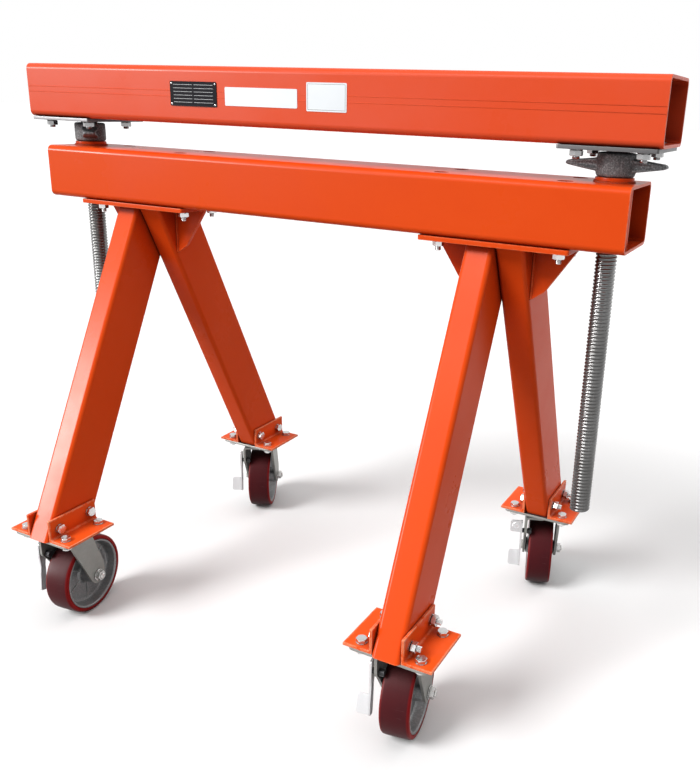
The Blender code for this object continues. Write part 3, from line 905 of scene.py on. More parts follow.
def flat_plate(node: str, finish: Finish, body: str, corner: float, steps: int, edge: float) -> None:
    """Model a flat plate with eased corners over its frame node.

    Args:
        node: The frame node.
        finish: The plate's finish.
        body: The body it rides on.
        corner: The radius of its corners.
        steps: Segments in each corner.
        edge: The radius left on its edges.
    """
    low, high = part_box(node)
    flat = block(f"{node}_flat", low, high)
    with editing(flat):
        pick(flat, "EDGE", lambda edge_: along(edge_, 2))
        ease(corner, steps)
    fitted(finished(flat, edge), finish, body, [node])


FLIP = Matrix.Rotation(math.pi, 4, "X")


# --- fasteners ---
@dataclass
class BoltSet:
    """Hex bolt, washers and nut of one size, modelled once and stamped where it holds.

    Attributes:
        radius: Shank radius.
        across: Width across flats.
        head: Head height.
        nut: Nut height.
        washer: Washer radius.
        washer_thick: Washer thickness.
        stub: Thread past the nut.
        pitch: Pitch of that thread.
        finish: What it is plated with.
        patterns: The shapes to stamp.
    """

    radius: float = 0.005
    across: float = 0.017
    head: float = 0.0066
    nut: float = 0.0082
    washer: float = 0.0094
    washer_thick: float = 0.0018
    stub: float = 0.0075
    pitch: float = 0.0015
    finish: Finish = BOLT
    patterns: dict[str, Piece] = field(default_factory=dict)

    def hexagon(self, name: str, height: float, both: bool) -> Piece:
        """A hex prism with its corners turned off on top, or on both faces.

        Args:
            name: The piece's name.
            height: Its height.
            both: Whether the underside is turned too.

        Returns:
            The new object, standing on the origin.
        """
        corner, flat = self.across / math.sqrt(3), self.across / 2
        slope, face = 0.6, flat * 0.97
        drop = (corner - flat) * slope
        reach = corner + 0.001
        foot = [(face, 0.0), (reach, (reach - flat) * slope)] if both else [(reach, 0.0)]
        top = [(reach, height - drop - 0.0006), (face, height), (0.0, height)]
        lens = turned("lens", [(0.0, 0.0)] + foot + top, steps=36)
        hexagon = drum(name, corner, 0.0, height, sides=6)
        return combine(hexagon, lens, "INTERSECT")

    def build(self) -> None:
        """Model the head with its washer, and the nut with its washers and stub."""
        flat = self.washer_thick
        head = shift(self.hexagon("head", self.head, both=False), (0, 0, flat))
        washer = flat_ring(self.radius, self.washer, flat)
        self.patterns["head"] = finished(joined("bolt_head", [head, washer]), 0.00035)
        nut = shift(self.hexagon("nut", self.nut, both=True), (0, 0, 2 * flat))
        washer = flat_ring(self.radius, self.washer, flat)
        stub = self._stub(2 * flat + self.nut)
        self.patterns["nut"] = finished(joined("nut", [nut, washer, stub]), FINE_EDGE)
        spring = shift(flat_ring(self.radius, self.washer * 0.82, flat), (0, 0, flat))
        self.patterns["spring"] = finished(spring, FINE_EDGE, 1)

    def _stub(self, foot: float) -> Piece:
        """The thread's end, standing out of the nut."""
        tip, root, chamfer = foot + self.stub, self.radius - 0.0007, 0.001
        profile: list[Pair] = [(0.0, tip), (self.radius - chamfer, tip)]
        for crest in range(int(self.stub / self.pitch)):
            level = tip - chamfer - crest * self.pitch
            profile += [(self.radius, level), (root, level - self.pitch / 2)]
        profile += [(root, foot - chamfer), (0.0, foot - chamfer)]
        return turned("stub", profile, steps=24)

    def fit(self, name: str, body: str, head_at: Matrix, nut_at: Matrix) -> None:
        """Stamp one set.

        Args:
            name: The joint's name.
            body: The body it holds.
            head_at: Seat of the head, its +Z out of the seat.
            nut_at: Seat of the nut, its +Z out of the seat.
        """
        fitted(stamped(self.patterns["head"], f"{name}_bolt", head_at), self.finish, body)
        fitted(stamped(self.patterns["nut"], f"{name}_nut", nut_at), self.finish, body)
        fitted(stamped(self.patterns["spring"], f"{name}_spring_washer", nut_at), SPRING, body)

    def fit_corners(self, name: str, body: str, centre: Vector, half: Pair, top: float,
                    bottom: float) -> None:
        """Stamp four sets at the corners of a flat plate, heads above and nuts below.

        Args:
            name: The joints' name.
            body: The body they hold.
            centre: The plate's centre.
            half: Half their pitch along X and Y.
            top: The heads' seat.
            bottom: The nuts' seat.
        """
        for number, (x, y) in enumerate(corners(*half)):
            x, y = centre.x + x, centre.y + y
            self.fit(f"{name}_{number}", body, at(x, y, top), at(x, y, bottom) @ FLIP)

    def clear(self) -> None:
        """Drop the patterns."""
        discard(*self.patterns.values())


# --- welds ---
@dataclass
class Welder:
    """Lays fillet beads as rows of overlapping ripples.

    Attributes:
        radius: The bead's radius.
        pitch: From ripple to ripple.
        squash: A ripple's length along the bead, as a part of its width.
    """

    radius: float = 0.0028
    pitch: float = 0.0024
    squash: float = 0.8

    def _ripple(self, name: str, out: float, along_x: bool) -> Piece:
        """Model one ripple, out from the origin along X."""
        ripple = primitive(name, "uv_sphere", segments=8, ring_count=6, radius=self.radius,
                           location=(out, 0, 0))
        size = (self.squash, 1, 1) if along_x else (1, self.squash, 1)
        with editing(ripple):
            everything()
            bpy.ops.transform.resize(value=size, center_override=(out, 0, 0))
        return ripple

    def run(self, name: str, start: Sequence[float], end: Sequence[float], body: str) -> None:
        """Lay one straight bead.

        Args:
            name: The bead's name.
            start: Its first point.
            end: Its last point.
            body: The body it rides on.
        """
        line = Vector(end) - Vector(start)
        count = max(2, int(line.length / self.pitch))
        bead = repeated(self._ripple(name, 0.0, along_x=True), count + 1, (line.length / count, 0, 0))
        bead.data.transform(Matrix.Translation(start) @ line.to_track_quat("X", "Z").to_matrix().to_4x4())
        fitted(smoothed(bead), PAINT, body)

    def ring(self, name: str, centre: Sequence[float], radius: float, body: str) -> None:
        """Lay one bead round a collar.

        Args:
            name: The bead's name.
            centre: The ring's centre.
            radius: The ring's radius.
            body: The body it rides on.
        """
        bead = self._ripple(name, radius, along_x=False)
        with editing(bead):
            everything()
            spin(int(math.tau * radius / self.pitch), dupli=True)
        bead.data.transform(Matrix.Translation(centre))
        fitted(smoothed(bead), PAINT, body)


# --- beams ---
@dataclass
class BoxBeam:
    """Open-ended rolled box section along X.

    Attributes:
        node: The frame node it stands for.
        body: The body it rides on.
        wall: Wall thickness.
        corner: Outer corner radius.
        seam: Whether its rolled seam shows.
        paint: Its finish.
        holes: X, Y and radius of holes in its top wall.
        bores: The same for holes through both walls.
    """

    node: str
    body: str
    wall: float = BEAM_WALL
    corner: float = 0.011
    seam: bool = False
    paint: Finish = PAINT
    holes: list[Triple] = field(default_factory=list)
    bores: list[Triple] = field(default_factory=list)

    def build(self) -> None:
        """Bevel a block's long edges, hollow it end to end and drill it."""
        low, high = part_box(self.node)
        beam = block(f"{self.node}_section", low, high)
        with editing(beam):
            pick(beam, "EDGE", lambda edge: along(edge, 0))
            ease(self.corner, 8)
            pick(beam, "FACE", lambda face: abs(face.normal.x) > SQUARE_ON)
            bpy.ops.mesh.inset(thickness=self.wall)
            bpy.ops.mesh.bridge_edge_loops()
        over = 0.01
        for x, y, radius in self.holes:
            combine(beam, drum("drill", radius, high.z - 3 * self.wall, high.z + over, 32, (x, y)))
        for x, y, radius in self.bores:
            combine(beam, drum("drill", radius, low.z - over, high.z + over, 48, (x, y)))
        fitted(finished(beam, SOFT_EDGE), self.paint, self.body, [self.node])
        if self.seam:
            self._seam(low, high)

    def _seam(self, low: Vector, high: Vector) -> None:
        """The section's rolled seam: two faint ridges along its front face."""
        proud, half, short = 0.0002, 0.0011, 0.001
        for number, drop in enumerate((0.043, 0.053)):
            z = high.z - drop
            ridge = block(f"{self.node}_seam_{number}", (low.x + short, low.y - proud, z - half),
                          (high.x - short, low.y + proud, z + half))
            with editing(ridge):
                pick(ridge, "FACE", lambda face: facing(face, FRONTWARDS))
                bpy.ops.transform.resize(value=(1, 1, 0.3))
            fitted(smoothed(ridge), SEAM_PAINT, self.body)


@dataclass
class DataPlates:
    """Riveted nameplate and two blank labels on the lifting beam's front face.

    Attributes:
        body: The body they ride on.
        border: Width of the nameplate's raised rim.
        wide_label: Centre X, height above the beam's bottom, width and height.
        small_label: The same for the second label.
        label_thick: Thickness of both labels.
    """

    body: str = "lifting_beam"
    border: float = 0.0022
    wide_label: Quad = (-0.060, 0.050, 0.151, 0.031)
    small_label: Quad = (0.073, 0.054, 0.078, 0.046)
    label_thick: float = 0.0006

    def build(self) -> None:
        """Model the plate, its blank fields, its rivets and the labels."""
        low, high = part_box("nameplate")
        body = block("nameplate_body", low, high)
        with editing(body):
            pick(body, "EDGE", lambda edge: along(edge, 1))
            ease(0.002, 4)
            pick(body, "FACE", lambda face: facing(face, FRONTWARDS))
            bpy.ops.mesh.inset(thickness=self.border, depth=-0.0002)
        fitted(finished(body, 0.0002, 1), PLATE_BLACK, self.body, ["nameplate"])
        self._fields(low, high)
        self._rivets(low, high)
        self._label("wide_label", self.wide_label)
        self._label("small_label", self.small_label, ruled=True)

    def _fields(self, low: Vector, high: Vector) -> None:
        """Two columns of thin raised rules, with nothing written on them."""
        rows, gap, margin = 6, 0.004, Vector((0.008, 0, 0.006))
        inner_low, inner_high = low + margin, high - margin
        width = (inner_high.x - inner_low.x - gap) / 2
        pitch = (inner_high.z - inner_low.z) / (rows - 1)
        front = low.y + 0.0002
        rules = block("nameplate_rules", (inner_low.x, front - 0.0001, inner_low.z),
                      (inner_low.x + width, front + 0.0003, inner_low.z + 0.0008))
        with editing(rules):
            pick(rules, "FACE", lambda face: facing(face, FRONTWARDS))
            bpy.ops.mesh.inset(thickness=0.0002, depth=0.00005)
        repeated(rules, 2, (width + gap, 0, 0))
        repeated(rules, rows, (0, 0, pitch))
        fitted(finished(rules), ETCHED, self.body)

    def _rivets(self, low: Vector, high: Vector) -> None:
        """Four dome rivets in the plate's corners."""
        profile = [(0.0, 0.0010), (0.0008, 0.0009), (0.0014, 0.0005), (0.0017, 0.0), (0.0, 0.0)]
        dome = turned("rivet", profile, steps=20)
        finished(turn(dome, QUARTER, "X"))
        centre = (low + high) / 2
        half = (high - low) / 2 - Vector((0.0035, 0, 0.0035))
        for number, (x, z) in enumerate(corners(half.x, half.z)):
            place = at(centre.x + x, low.y + 0.0002, centre.z + z)
            fitted(stamped(dome, f"nameplate_rivet_{number}", place), BOLT, self.body)
        discard(dome)

    def _label(self, name: str, size: Quad, ruled: bool = False) -> None:
        """A blank film label with a pressed edge."""
        x, rise, width, height = size
        low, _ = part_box("top_beam")
        left, right = x - width / 2, x + width / 2
        foot, top = low.z + rise - height / 2, low.z + rise + height / 2
        outline = [(left, foot), (right, foot), (right, top), (left, top)]
        label = plate(name, Plane.XZ, outline, low.y - self.label_thick, low.y - 0.00002, 0.002)
        with editing(label):
            pick(label, "FACE", lambda face: facing(face, FRONTWARDS))
            bpy.ops.mesh.inset(thickness=0.0006, depth=-0.00005)
        fitted(finished(label), LABEL, self.body)
        if ruled:
            self._border(name, outline, low.y - self.label_thick)

    def _border(self, name: str, outline: Sequence[Pair], face_y: float) -> None:
        """A thin dark frame line on a label."""
        (left, foot), _, (right, top), _ = outline
        inset = 0.0024
        left, right, foot, top = left + inset, right - inset, foot + inset, top - inset
        inner = [(left, foot), (right, foot), (right, top), (left, top)]
        line = plate(f"{name}_border", Plane.XZ, inner, face_y - 0.00006, face_y + 0.00005, wall=0.0006)
        fitted(finished(line), ETCHED, self.body)


# --- A-frames ---
@dataclass
class AFrame:
    """Head plate, two splayed legs, gussets, foot brackets and their bolts.

    Attributes:
        side: Left or right frame.
        bolts: What holds the head plate and the brackets.
        thin_bolts: What holds the casters.
        welder: What lays its beads.
        leg_depth: Leg section along Y, square to the leg.
        leg_wall: Leg wall.
        leg_corner: Leg corner radius.
        leg_bolts: Y towards the middle and Z of the bolts through a leg, from the bracket's foot.
        caster_bolts: Half the caster bolts' pitch, X and Y.
        bracket_thick: Bracket thickness.
        body: The body it rides on.
    """

    side: Side
    bolts: BoltSet
    thin_bolts: BoltSet
    welder: Welder
    leg_depth: float = 0.100
    leg_wall: float = 0.004
    leg_corner: float = 0.008
    leg_bolts: tuple[Pair, ...] = ((-0.034, 0.022), (0.040, 0.026))
    caster_bolts: Pair = (0.0525, 0.040)
    bracket_thick: float = 0.005
    body: str = "stand"

    def build(self) -> None:
        """Model every piece of the frame."""
        flat_plate(f"head_plate_{self.side.word}", PAINT, self.body, corner=0.004, steps=4, edge=PLATE_EDGE)
        for end in End:
            self.leg(end)
            self.gusset(end)
            for way in ("inner", "outer"):
                self.bracket(end, way)
            self.foot_bolts(end)
            self.leg_welds(end)
        self.head_bolts()

    def node(self, part: str, end: End, tail: str = "") -> str:
        """The frame node's name of a part at one end."""
        return f"{part}_{end.word}_{self.side.word}{tail}"

    def leg(self, end: End) -> None:
        """Draw the section at the head, hollow it and extrude it down the splay."""
        name = self.node("leg", end)
        low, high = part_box(name)
        width, slant = high.x - low.x, self.leg_depth / math.cos(SPLAY)
        centre_y = high.y - slant / 2 if end is End.FRONT else low.y + slant / 2
        leg = primitive(f"{name}_tube", "plane", size=1.0)
        with editing(leg):
            everything()
            bpy.ops.transform.resize(value=(width, self.leg_depth, 1), center_override=(0, 0, 0))
            ease(self.leg_corner, 7, points=True)
            everything()
            bpy.ops.mesh.inset(thickness=self.leg_wall)
            bpy.ops.mesh.delete(type="FACE")
            everything()
            bpy.ops.transform.resize(value=(1, 1 / math.cos(SPLAY), 1), center_override=(0, 0, 0))
            bpy.ops.transform.translate(value=((low.x + high.x) / 2, centre_y, high.z))
            extrude((0, end.value * (high.y - low.y - slant), low.z - high.z))
            tidy_shell()
        fitted(finished(leg, SOFT_EDGE), PAINT, self.body, [name])

    def gusset(self, end: End) -> None:
        """Web beside the leg, with its point cut off."""
        name = self.node("gusset", end)
        low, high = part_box(name)
        reach = end.value
        root = low.x if reach > 0 else high.x
        span, drop, nose = high.x - low.x, high.z - low.z, 0.004
        tip = root + reach * span
        outline = [(root, high.z), (tip, high.z), (tip, high.z - nose),
                   (root + reach * 0.024, low.z + drop * 0.18), (root, low.z)]
        web = plate(f"{name}_web", Plane.XZ, outline, low.y, high.y)
        fitted(finished(web, PLATE_EDGE), PAINT, self.body, [name])
        sunk = 0.001
        start, end_, side = root + reach * nose, root + reach * (span - nose), root + reach * sunk
        for face, y in (("a", low.y), ("b", high.y)):
            self.welder.run(f"{name}_weld_head_{face}", (start, y, high.z - sunk), (end_, y, high.z - sunk),
                            self.body)
            self.welder.run(f"{name}_weld_leg_{face}", (side, y, high.z - nose), (side, y, low.z + nose),
                            self.body)

    def leg_welds(self, end: End) -> None:
        """Beads across the front and back of a leg under the head plate."""
        low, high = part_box(self.node("leg", end))
        slant = self.leg_depth / math.cos(SPLAY)
        near = high.y - slant if end is End.FRONT else low.y
        inset = self.leg_corner
        for face, y in (("front", near), ("back", near + slant)):
            self.welder.run(f"{self.node('leg', end)}_weld_{face}", (low.x + inset, y, high.z - 0.001),
                            (high.x - inset, y, high.z - 0.001), self.body)

    def bracket(self, end: End, way: str) -> None:
        """Rolled angle: root filleted, toes rounded, one flange up and one out."""
        name = self.node("foot_bracket", end, f"_{way}")
        low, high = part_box(name)
        reach = -1 if way == "inner" else 1
        root = high.x if reach < 0 else low.x
        tip = root + reach * (high.x - low.x)
        thick = self.bracket_thick
        web_x, floor_z = root + reach * thick, low.z + thick
        outline = [(root, low.z), (tip, low.z), (tip, floor_z), (web_x, floor_z), (web_x, high.z),
                   (root, high.z)]
        bar = trace(f"{name}_angle", [Plane.XZ.point(u, v, low.y) for u, v in outline], closed=True)
        with editing(bar):
            inside = Vector((web_x, low.y, floor_z))
            pick(bar, "VERT", lambda vert: (vert.co - inside).length < TINY)
            ease(0.004, 5, points=True)
            everything()
            extrude((0, high.y - low.y, 0))
            tidy_shell()
        fitted(finished(bar, 0.0011, 3), BRACKET_LIT_PAINT, self.body, [name])

    def foot_bolts(self, end: End) -> None:
        """Two bolts through each leg, and four down through the caster plate."""
        outer_low, outer_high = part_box(self.node("foot_bracket", end, "_outer"))
        _, inner_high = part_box(self.node("foot_bracket", end, "_inner"))
        centre_y, foot_z = (outer_low.y + outer_high.y) / 2, outer_low.z
        out, back = Matrix.Rotation(QUARTER, 4, "Y"), Matrix.Rotation(-QUARTER, 4, "Y")
        for number, (y, z) in enumerate(self.leg_bolts):
            y, z = centre_y - end.value * y, foot_z + z
            right = at(outer_low.x + self.bracket_thick, y, z) @ out
            left = at(inner_high.x - self.bracket_thick, y, z) @ back
            seats = (right, left) if self.side is Side.LEFT else (left, right)
            self.bolts.fit(f"leg_{end.word}_{self.side.word}_{number}", self.body, *seats)
        plate_node = self.node("caster_plate", end)
        top, bottom = foot_z + self.bracket_thick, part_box(plate_node)[0].z
        self.thin_bolts.fit_corners(self.node("caster", end), self.body, middle(plate_node),
                                    self.caster_bolts, top, bottom)

    def head_bolts(self) -> None:
        """Four bolts down through the beam's floor and the head plate."""
        name = f"head_plate_{self.side.word}"
        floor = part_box("lower_beam")[0].z + BEAM_WALL
        self.bolts.fit_corners(name, self.body, middle(name), HEAD_BOLTS, floor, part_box(name)[0].z)


# --- screw jacks ---
@dataclass
class ScrewJack:
    """Jack plate, threaded screw, cast wing nut and the collar it turns on.

    Attributes:
        side: Left or right jack.
        bolts: What holds the plate to the beam.
        welder: What lays the collar's bead.
        wing_turn: Where the wings point, in degrees.
        pitch: Thread pitch.
        thread_depth: Crest to root.
        bolt_half_pitch: Half the plate bolts' pitch.
        bore: The collar's bore radius.
        hub_radius: The nut's hub.
        wing_width: The wings' width at their root.
    """

    side: Side
    bolts: BoltSet
    welder: Welder
    wing_turn: float = 0.0
    pitch: float = 0.006
    thread_depth: float = 0.0017
    bolt_half_pitch: float = 0.050
    bore: float = 0.0185
    hub_radius: float = 0.030
    wing_width: float = 0.030

    def build(self) -> None:
        """Model every piece of the jack."""
        self.plate()
        self.screw()
        self.collar()
        self.wing_nut()

    def plate(self) -> None:
        """Square base plate bolted under the lifting beam."""
        name = f"jack_plate_{self.side.word}"
        flat_plate(name, SHADED_GALVANISED_PLATE, "lifting_beam", corner=0.003, steps=4, edge=0.0007)
        floor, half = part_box("top_beam")[0].z + BEAM_WALL, self.bolt_half_pitch
        self.bolts.fit_corners(name, "lifting_beam", middle(name), (half, half), floor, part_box(name)[0].z)

    def screw(self) -> None:
        """One pitch of rounded thread, run up the rod and cut level at both ends."""
        name = f"jack_screw_{self.side.word}"
        low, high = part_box(name)
        crest, root = (high.x - low.x) / 2, (high.x - low.x) / 2 - self.thread_depth
        shape = ((0.00, 0.0), (0.10, 0.0), (0.22, 0.35), (0.34, 0.85), (0.44, 1.0), (0.60, 1.0),
                 (0.70, 0.85), (0.82, 0.35), (0.94, 0.0), (1.00, 0.0))
        line = [Vector((root + (crest - root) * rise, 0, part * self.pitch)) for part, rise in shape]
        rod = trace(f"{name}_thread", line)
        steps, turns = 28, math.ceil((high.z - low.z) / self.pitch) + 2
        modify(rod, "SCREW", axis="Z", steps=steps, render_steps=steps, screw_offset=self.pitch,
               iterations=turns, use_merge_vertices=True, merge_threshold=0.00001)
        centre = middle(name)
        shift(rod, (centre.x, centre.y, low.z - self.pitch))
        with editing(rod):
            for level, cleared in ((low.z, {"clear_inner": True}), (high.z, {"clear_outer": True})):
                everything()
                bpy.ops.mesh.bisect(plane_co=(centre.x, centre.y, level), plane_no=UP, use_fill=True,
                                    **cleared)
            tidy_shell()
        fitted(smoothed(rod, BLUNT), SCREW, "lifting_beam", [name])

    def collar(self) -> None:
        """Sleeve through the beam, welded where it stands proud."""
        name = f"guide_sleeve_{self.side.word}"
        low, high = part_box(name)
        outer, bore = (high.x - low.x) / 2, self.bore
        chamfer, edge, lead = 0.001, 0.0018, 0.0004
        sleeve = turned(f"{name}_tube", [
            (bore, high.z - chamfer), (bore + chamfer, high.z), (outer - edge, high.z),
            (outer - edge * 0.3, high.z - edge * 0.3), (outer, high.z - edge), (outer, low.z), (bore, low.z),
        ], ring=True)
        centre = middle(name)
        sleeve.data.transform(at(centre.x, centre.y, 0))
        fitted(finished(sleeve), COLLAR_LIT_PAINT, "stand", [name])
        beam_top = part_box("lower_beam")[1].z
        self.welder.ring(f"{name}_weld", (centre.x, centre.y, beam_top + lead), outer - lead, "stand")

    def wing_nut(self) -> None:
        """Hub and two tapered wings, blended as one casting and bored."""
        name = f"wing_nut_{self.side.word}"
        low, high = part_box(name)
        height, hub = high.z - low.z, self.hub_radius
        body = turned("hub", [(0, height), (hub - 0.004, height), (hub - 0.001, height - 0.001),
                              (hub, height - 0.004), (hub, 0.004), (hub - 0.0015, 0.001),
                              (hub - 0.004, 0.0), (0, 0)])
        half = [(0.020, 0.0062), (0.045, 0.0100), (0.0735, 0.0144), (0.0772, 0.0164), (0.0778, 0.0192),
                (0.0735, 0.0218), (0.045, 0.0250), (0.020, 0.0283)]
        outline = half + [(-u, v) for u, v in reversed(half)]
        width = self.wing_width / 2
        wings = plate("wings", Plane.XZ, outline, -width, width)
        with editing(wings):
            pick(wings, "VERT", lambda vert: abs(vert.co.x) > 0.07)
            bpy.ops.transform.resize(value=(1, 0.72, 1), center_override=(0, 0, 0.018))
        modify(wings, "BEVEL", width=0.0045, segments=3, limit_method="ANGLE",
               angle_limit=math.radians(BLUNT))
        for x in (-0.043, 0.043):
            combine(wings, primitive("dimple", "uv_sphere", segments=20, ring_count=12, radius=0.0042,
                                     location=(x, -width, 0.0175)))
        casting = joined(f"{name}_casting", [body, wings])
        modify(casting, "REMESH", mode="VOXEL", voxel_size=0.0011, use_smooth_shade=True)
        modify(casting, "SMOOTH", factor=0.5, iterations=7)
        combine(casting, drum("bore", 0.0176, -0.01, height + 0.01, 40))
        centre = middle(name)
        pointed = Matrix.Rotation(math.radians(self.wing_turn), 4, "Z")
        casting.data.transform(at(centre.x, centre.y, low.z) @ pointed)
        fitted(smoothed(casting, BLUNT), CAST, f"nut_{self.side.word}", [name])


# --- casters ---
@dataclass
class CasterPatterns:
    """The caster's pieces, modelled once about the swivel axis in the foot plane.

    The axle runs along X and the wheel trails towards +Y.

    Attributes:
        axle: The axle's Y and Z.
        brake: The brake shaft's Y and Z.
        wheel_radius: Over the tread.
        wheel_width: Across the tread.
        tread_depth: Thickness of the tread.
        hub_radius: The wheel's hub.
        ribs: How many ribs each side of the wheel has.
        plate_thick: The top plate's thickness.
        race_radius: The ball race's radius.
        race_height: The ball race's height.
        fork_inner: Half the width inside the fork.
        fork_outer: Half the width over the fork.
        fork_half_top: Half the crown's length.
        bend: Outer radius of the fork's bends.
        axle_radius: The axle's radius.
        nut_across: Width across flats of its nut and head.
        shapes: The patterns by name.
    """

    axle: Pair
    brake: Pair
    wheel_radius: float = 0.080
    wheel_width: float = 0.052
    tread_depth: float = 0.009
    hub_radius: float = 0.019
    ribs: int = 6
    plate_thick: float = 0.005
    race_radius: float = 0.037
    race_height: float = 0.0107
    fork_inner: float = 0.032
    fork_outer: float = 0.037
    fork_half_top: float = 0.030
    bend: float = 0.009
    axle_radius: float = 0.006
    nut_across: float = 0.018
    shapes: dict[str, Piece] = field(default_factory=dict)

    @property
    def crown(self) -> float:
        """Height of the fork's crown."""
        return -(self.plate_thick + self.race_height + 2 * HAIR)

    def build(self) -> None:
        """Model every pattern."""
        self.shapes = {
            "race": self.race(), "kingpin": self.kingpin(), "fork": self.fork(), "core": self.core(),
            "tyre": self.tyre(), "axle": self.axle_bolt(), "dark_washer": self.dark_washer(),
            "pedal": self.pedal(upper=False), "two_pads": self.pedal(upper=True), "cam": self.cam(),
        }

    def race(self) -> Piece:
        """Two pressed cups with the ball groove between them."""
        top, radius = -(self.plate_thick + HAIR), self.race_radius
        bottom = top - self.race_height
        upper = ((0.008, 0.0), (0.005, 0.0004), (0.0008, 0.0026), (0.0, 0.0040), (0.0006, 0.0050),
                 (0.0026, 0.0052), (0.0030, 0.0060), (0.0024, 0.0068), (0.0008, 0.0070), (0.0004, 0.0080))
        cups = [(radius - inset, top - drop) for inset, drop in upper]
        foot = [(radius - 0.0050, bottom + 0.0006), (radius - 0.008, bottom), (0, bottom)]
        return finished(turned("race", [(0, top)] + cups + foot))

    def kingpin(self) -> Piece:
        """Lock nut and pin end under the crown."""
        seat, radius, length, thick = self.crown - (self.fork_outer - self.fork_inner), 0.006, 0.012, 0.0015
        nut = drum("kingpin", 0.0115, seat - 0.009, seat, sides=6)
        pin = turned("pin", [(0, seat - length), (radius - thick, seat - length),
                             (radius, seat - length + thick), (radius, seat - 0.001), (0, seat - 0.001)],
                     steps=24)
        washer = flat_ring(radius, 0.0145, thick, foot=seat - thick)
        return finished(joined("kingpin", [nut, pin, washer]), SOFT_EDGE)

    def fork(self) -> Piece:
        """Bend a strip over the wheel, then trim its cheeks to their outline."""
        outer, inner, crown = self.fork_outer, self.fork_inner, self.crown
        thick, foot = outer - inner, self.axle[1] - 0.022
        under = crown - outer + inner
        strip = ((-outer, foot), (-outer, crown), (outer, crown), (outer, foot),
                 (inner, foot), (inner, under), (-inner, under), (-inner, foot))
        bow = trace("fork", [Plane.XZ.point(u, v, -0.06) for u, v in strip], closed=True)
        with editing(bow):
            pick(bow, "VERT", lambda vert: abs(vert.co.z - crown) < TINY)
            ease(self.bend, 7, points=True)
            pick(bow, "VERT", lambda vert: abs(vert.co.z - under) < TINY
                 and abs(abs(vert.co.x) - inner) < TINY)
            ease(self.bend - thick, 7, points=True)
            everything()
            extrude((0, 0.15, 0))
            tidy_shell()
        brake_side = self._cheeks(-outer - 0.002, 0.0, ear=True)
        plain_side = self._cheeks(-0.001, outer + 0.002, ear=False)
        combine(bow, combine(brake_side, plain_side, "UNION"), "INTERSECT")
        return finished(bow, 0.0009)

    def _cheeks(self, low: float, high: float, ear: bool) -> Piece:
        """The outline that trims the fork.

        Args:
            low: Where it starts along the axle.
            high: Where it ends.
            ear: Whether it has the brake shaft's ear.

        Returns:
            The trimming block.
        """
        y, z = self.axle
        brake_y, brake_z = self.brake
        top, roof, reach, heel = self.fork_half_top, self.crown + 0.002, 0.020, z - 0.017
        cut, ear_reach = 0.010, 0.012
        outline = [(-top, roof), (top, roof), (y + reach, z + reach), (y + reach, heel + cut),
                   (y + reach - cut, heel), (y - 0.008, heel), (y - 0.018, heel + cut)]
        if ear:
            outline += [(brake_y, brake_z - ear_reach), (brake_y - ear_reach, brake_z)]
        return plate("cheek", Plane.YZ, outline, low, high, 0.0045)

    def core(self) -> Piece:
        """Turned hub, web and rim with radial ribs on both sides; Z is the axle, then X."""
        rim = self.wheel_radius - self.tread_depth - HAIR
        half, hub_half = self.wheel_width / 2 - 0.0005, self.fork_inner - 0.001
        hub, lip = self.hub_radius, rim - 0.0045
        right = [(0.0066, hub_half - 0.001), (0.0076, hub_half), (hub - 0.005, hub_half),
                 (hub - 0.0025, hub_half - 0.0008), (hub - 0.0012, hub_half - 0.003), (hub, 0.010),
                 (hub + 0.003, 0.0058), (hub + 0.007, 0.0042), (lip - 0.010, 0.0040), (lip - 0.005, 0.0056),
                 (lip - 0.0022, 0.010), (lip - 0.0008, half - 0.003), (lip + 0.0006, half - 0.0006),
                 (lip + 0.0016, half), (rim - 0.0006, half), (rim, half - 0.0008)]
        body = turned("core", right + [(radius, -height) for radius, height in reversed(right)],
                      steps=72, ring=True)
        inner, outer = hub - 0.002, lip - 0.001
        outline = [(inner, -0.0090), (inner + 0.008, -0.0058), (outer - 0.008, -0.0054), (outer, -0.0070),
                   (outer, 0.0070), (outer - 0.008, 0.0054), (inner + 0.008, 0.0058), (inner, 0.0090)]
        rib = finished(plate("rib", Plane.XZ, outline, -0.0013, 0.0013), 0.0007)
        with editing(rib):
            everything()
            spin(self.ribs, dupli=True)
            everything()
            bpy.ops.mesh.remove_doubles(threshold=TINY)
        return turn(joined("core", [finished(body), rib]), QUARTER, "Y")

    def tyre(self) -> Piece:
        """Tread band with a shallow crown and moulded shoulders."""
        outer, half = self.wheel_radius, self.wheel_width / 2
        inner = outer - self.tread_depth
        right = [(inner, half - 0.0012), (inner + 0.0010, half), (outer - 0.0050, half),
                 (outer - 0.0034, half - 0.0003), (outer - 0.0018, half - 0.0012),
                 (outer - 0.0008, half - 0.0028), (outer - 0.0004, half - 0.0055),
                 (outer - 0.0001, half - 0.013)]
        profile = right + [(outer, 0.0004), (outer, -0.0004)] + [(r, -h) for r, h in reversed(right)]
        return turn(finished(turned("tyre", profile, steps=96, ring=True)), QUARTER, "Y")

    def _on_axle(self, obj: Piece, x: float) -> Piece:
        """Turn a Z piece to run along X and set it at x on the axle line."""
        return shift(turn(obj, QUARTER, "Y"), (x, *self.axle))

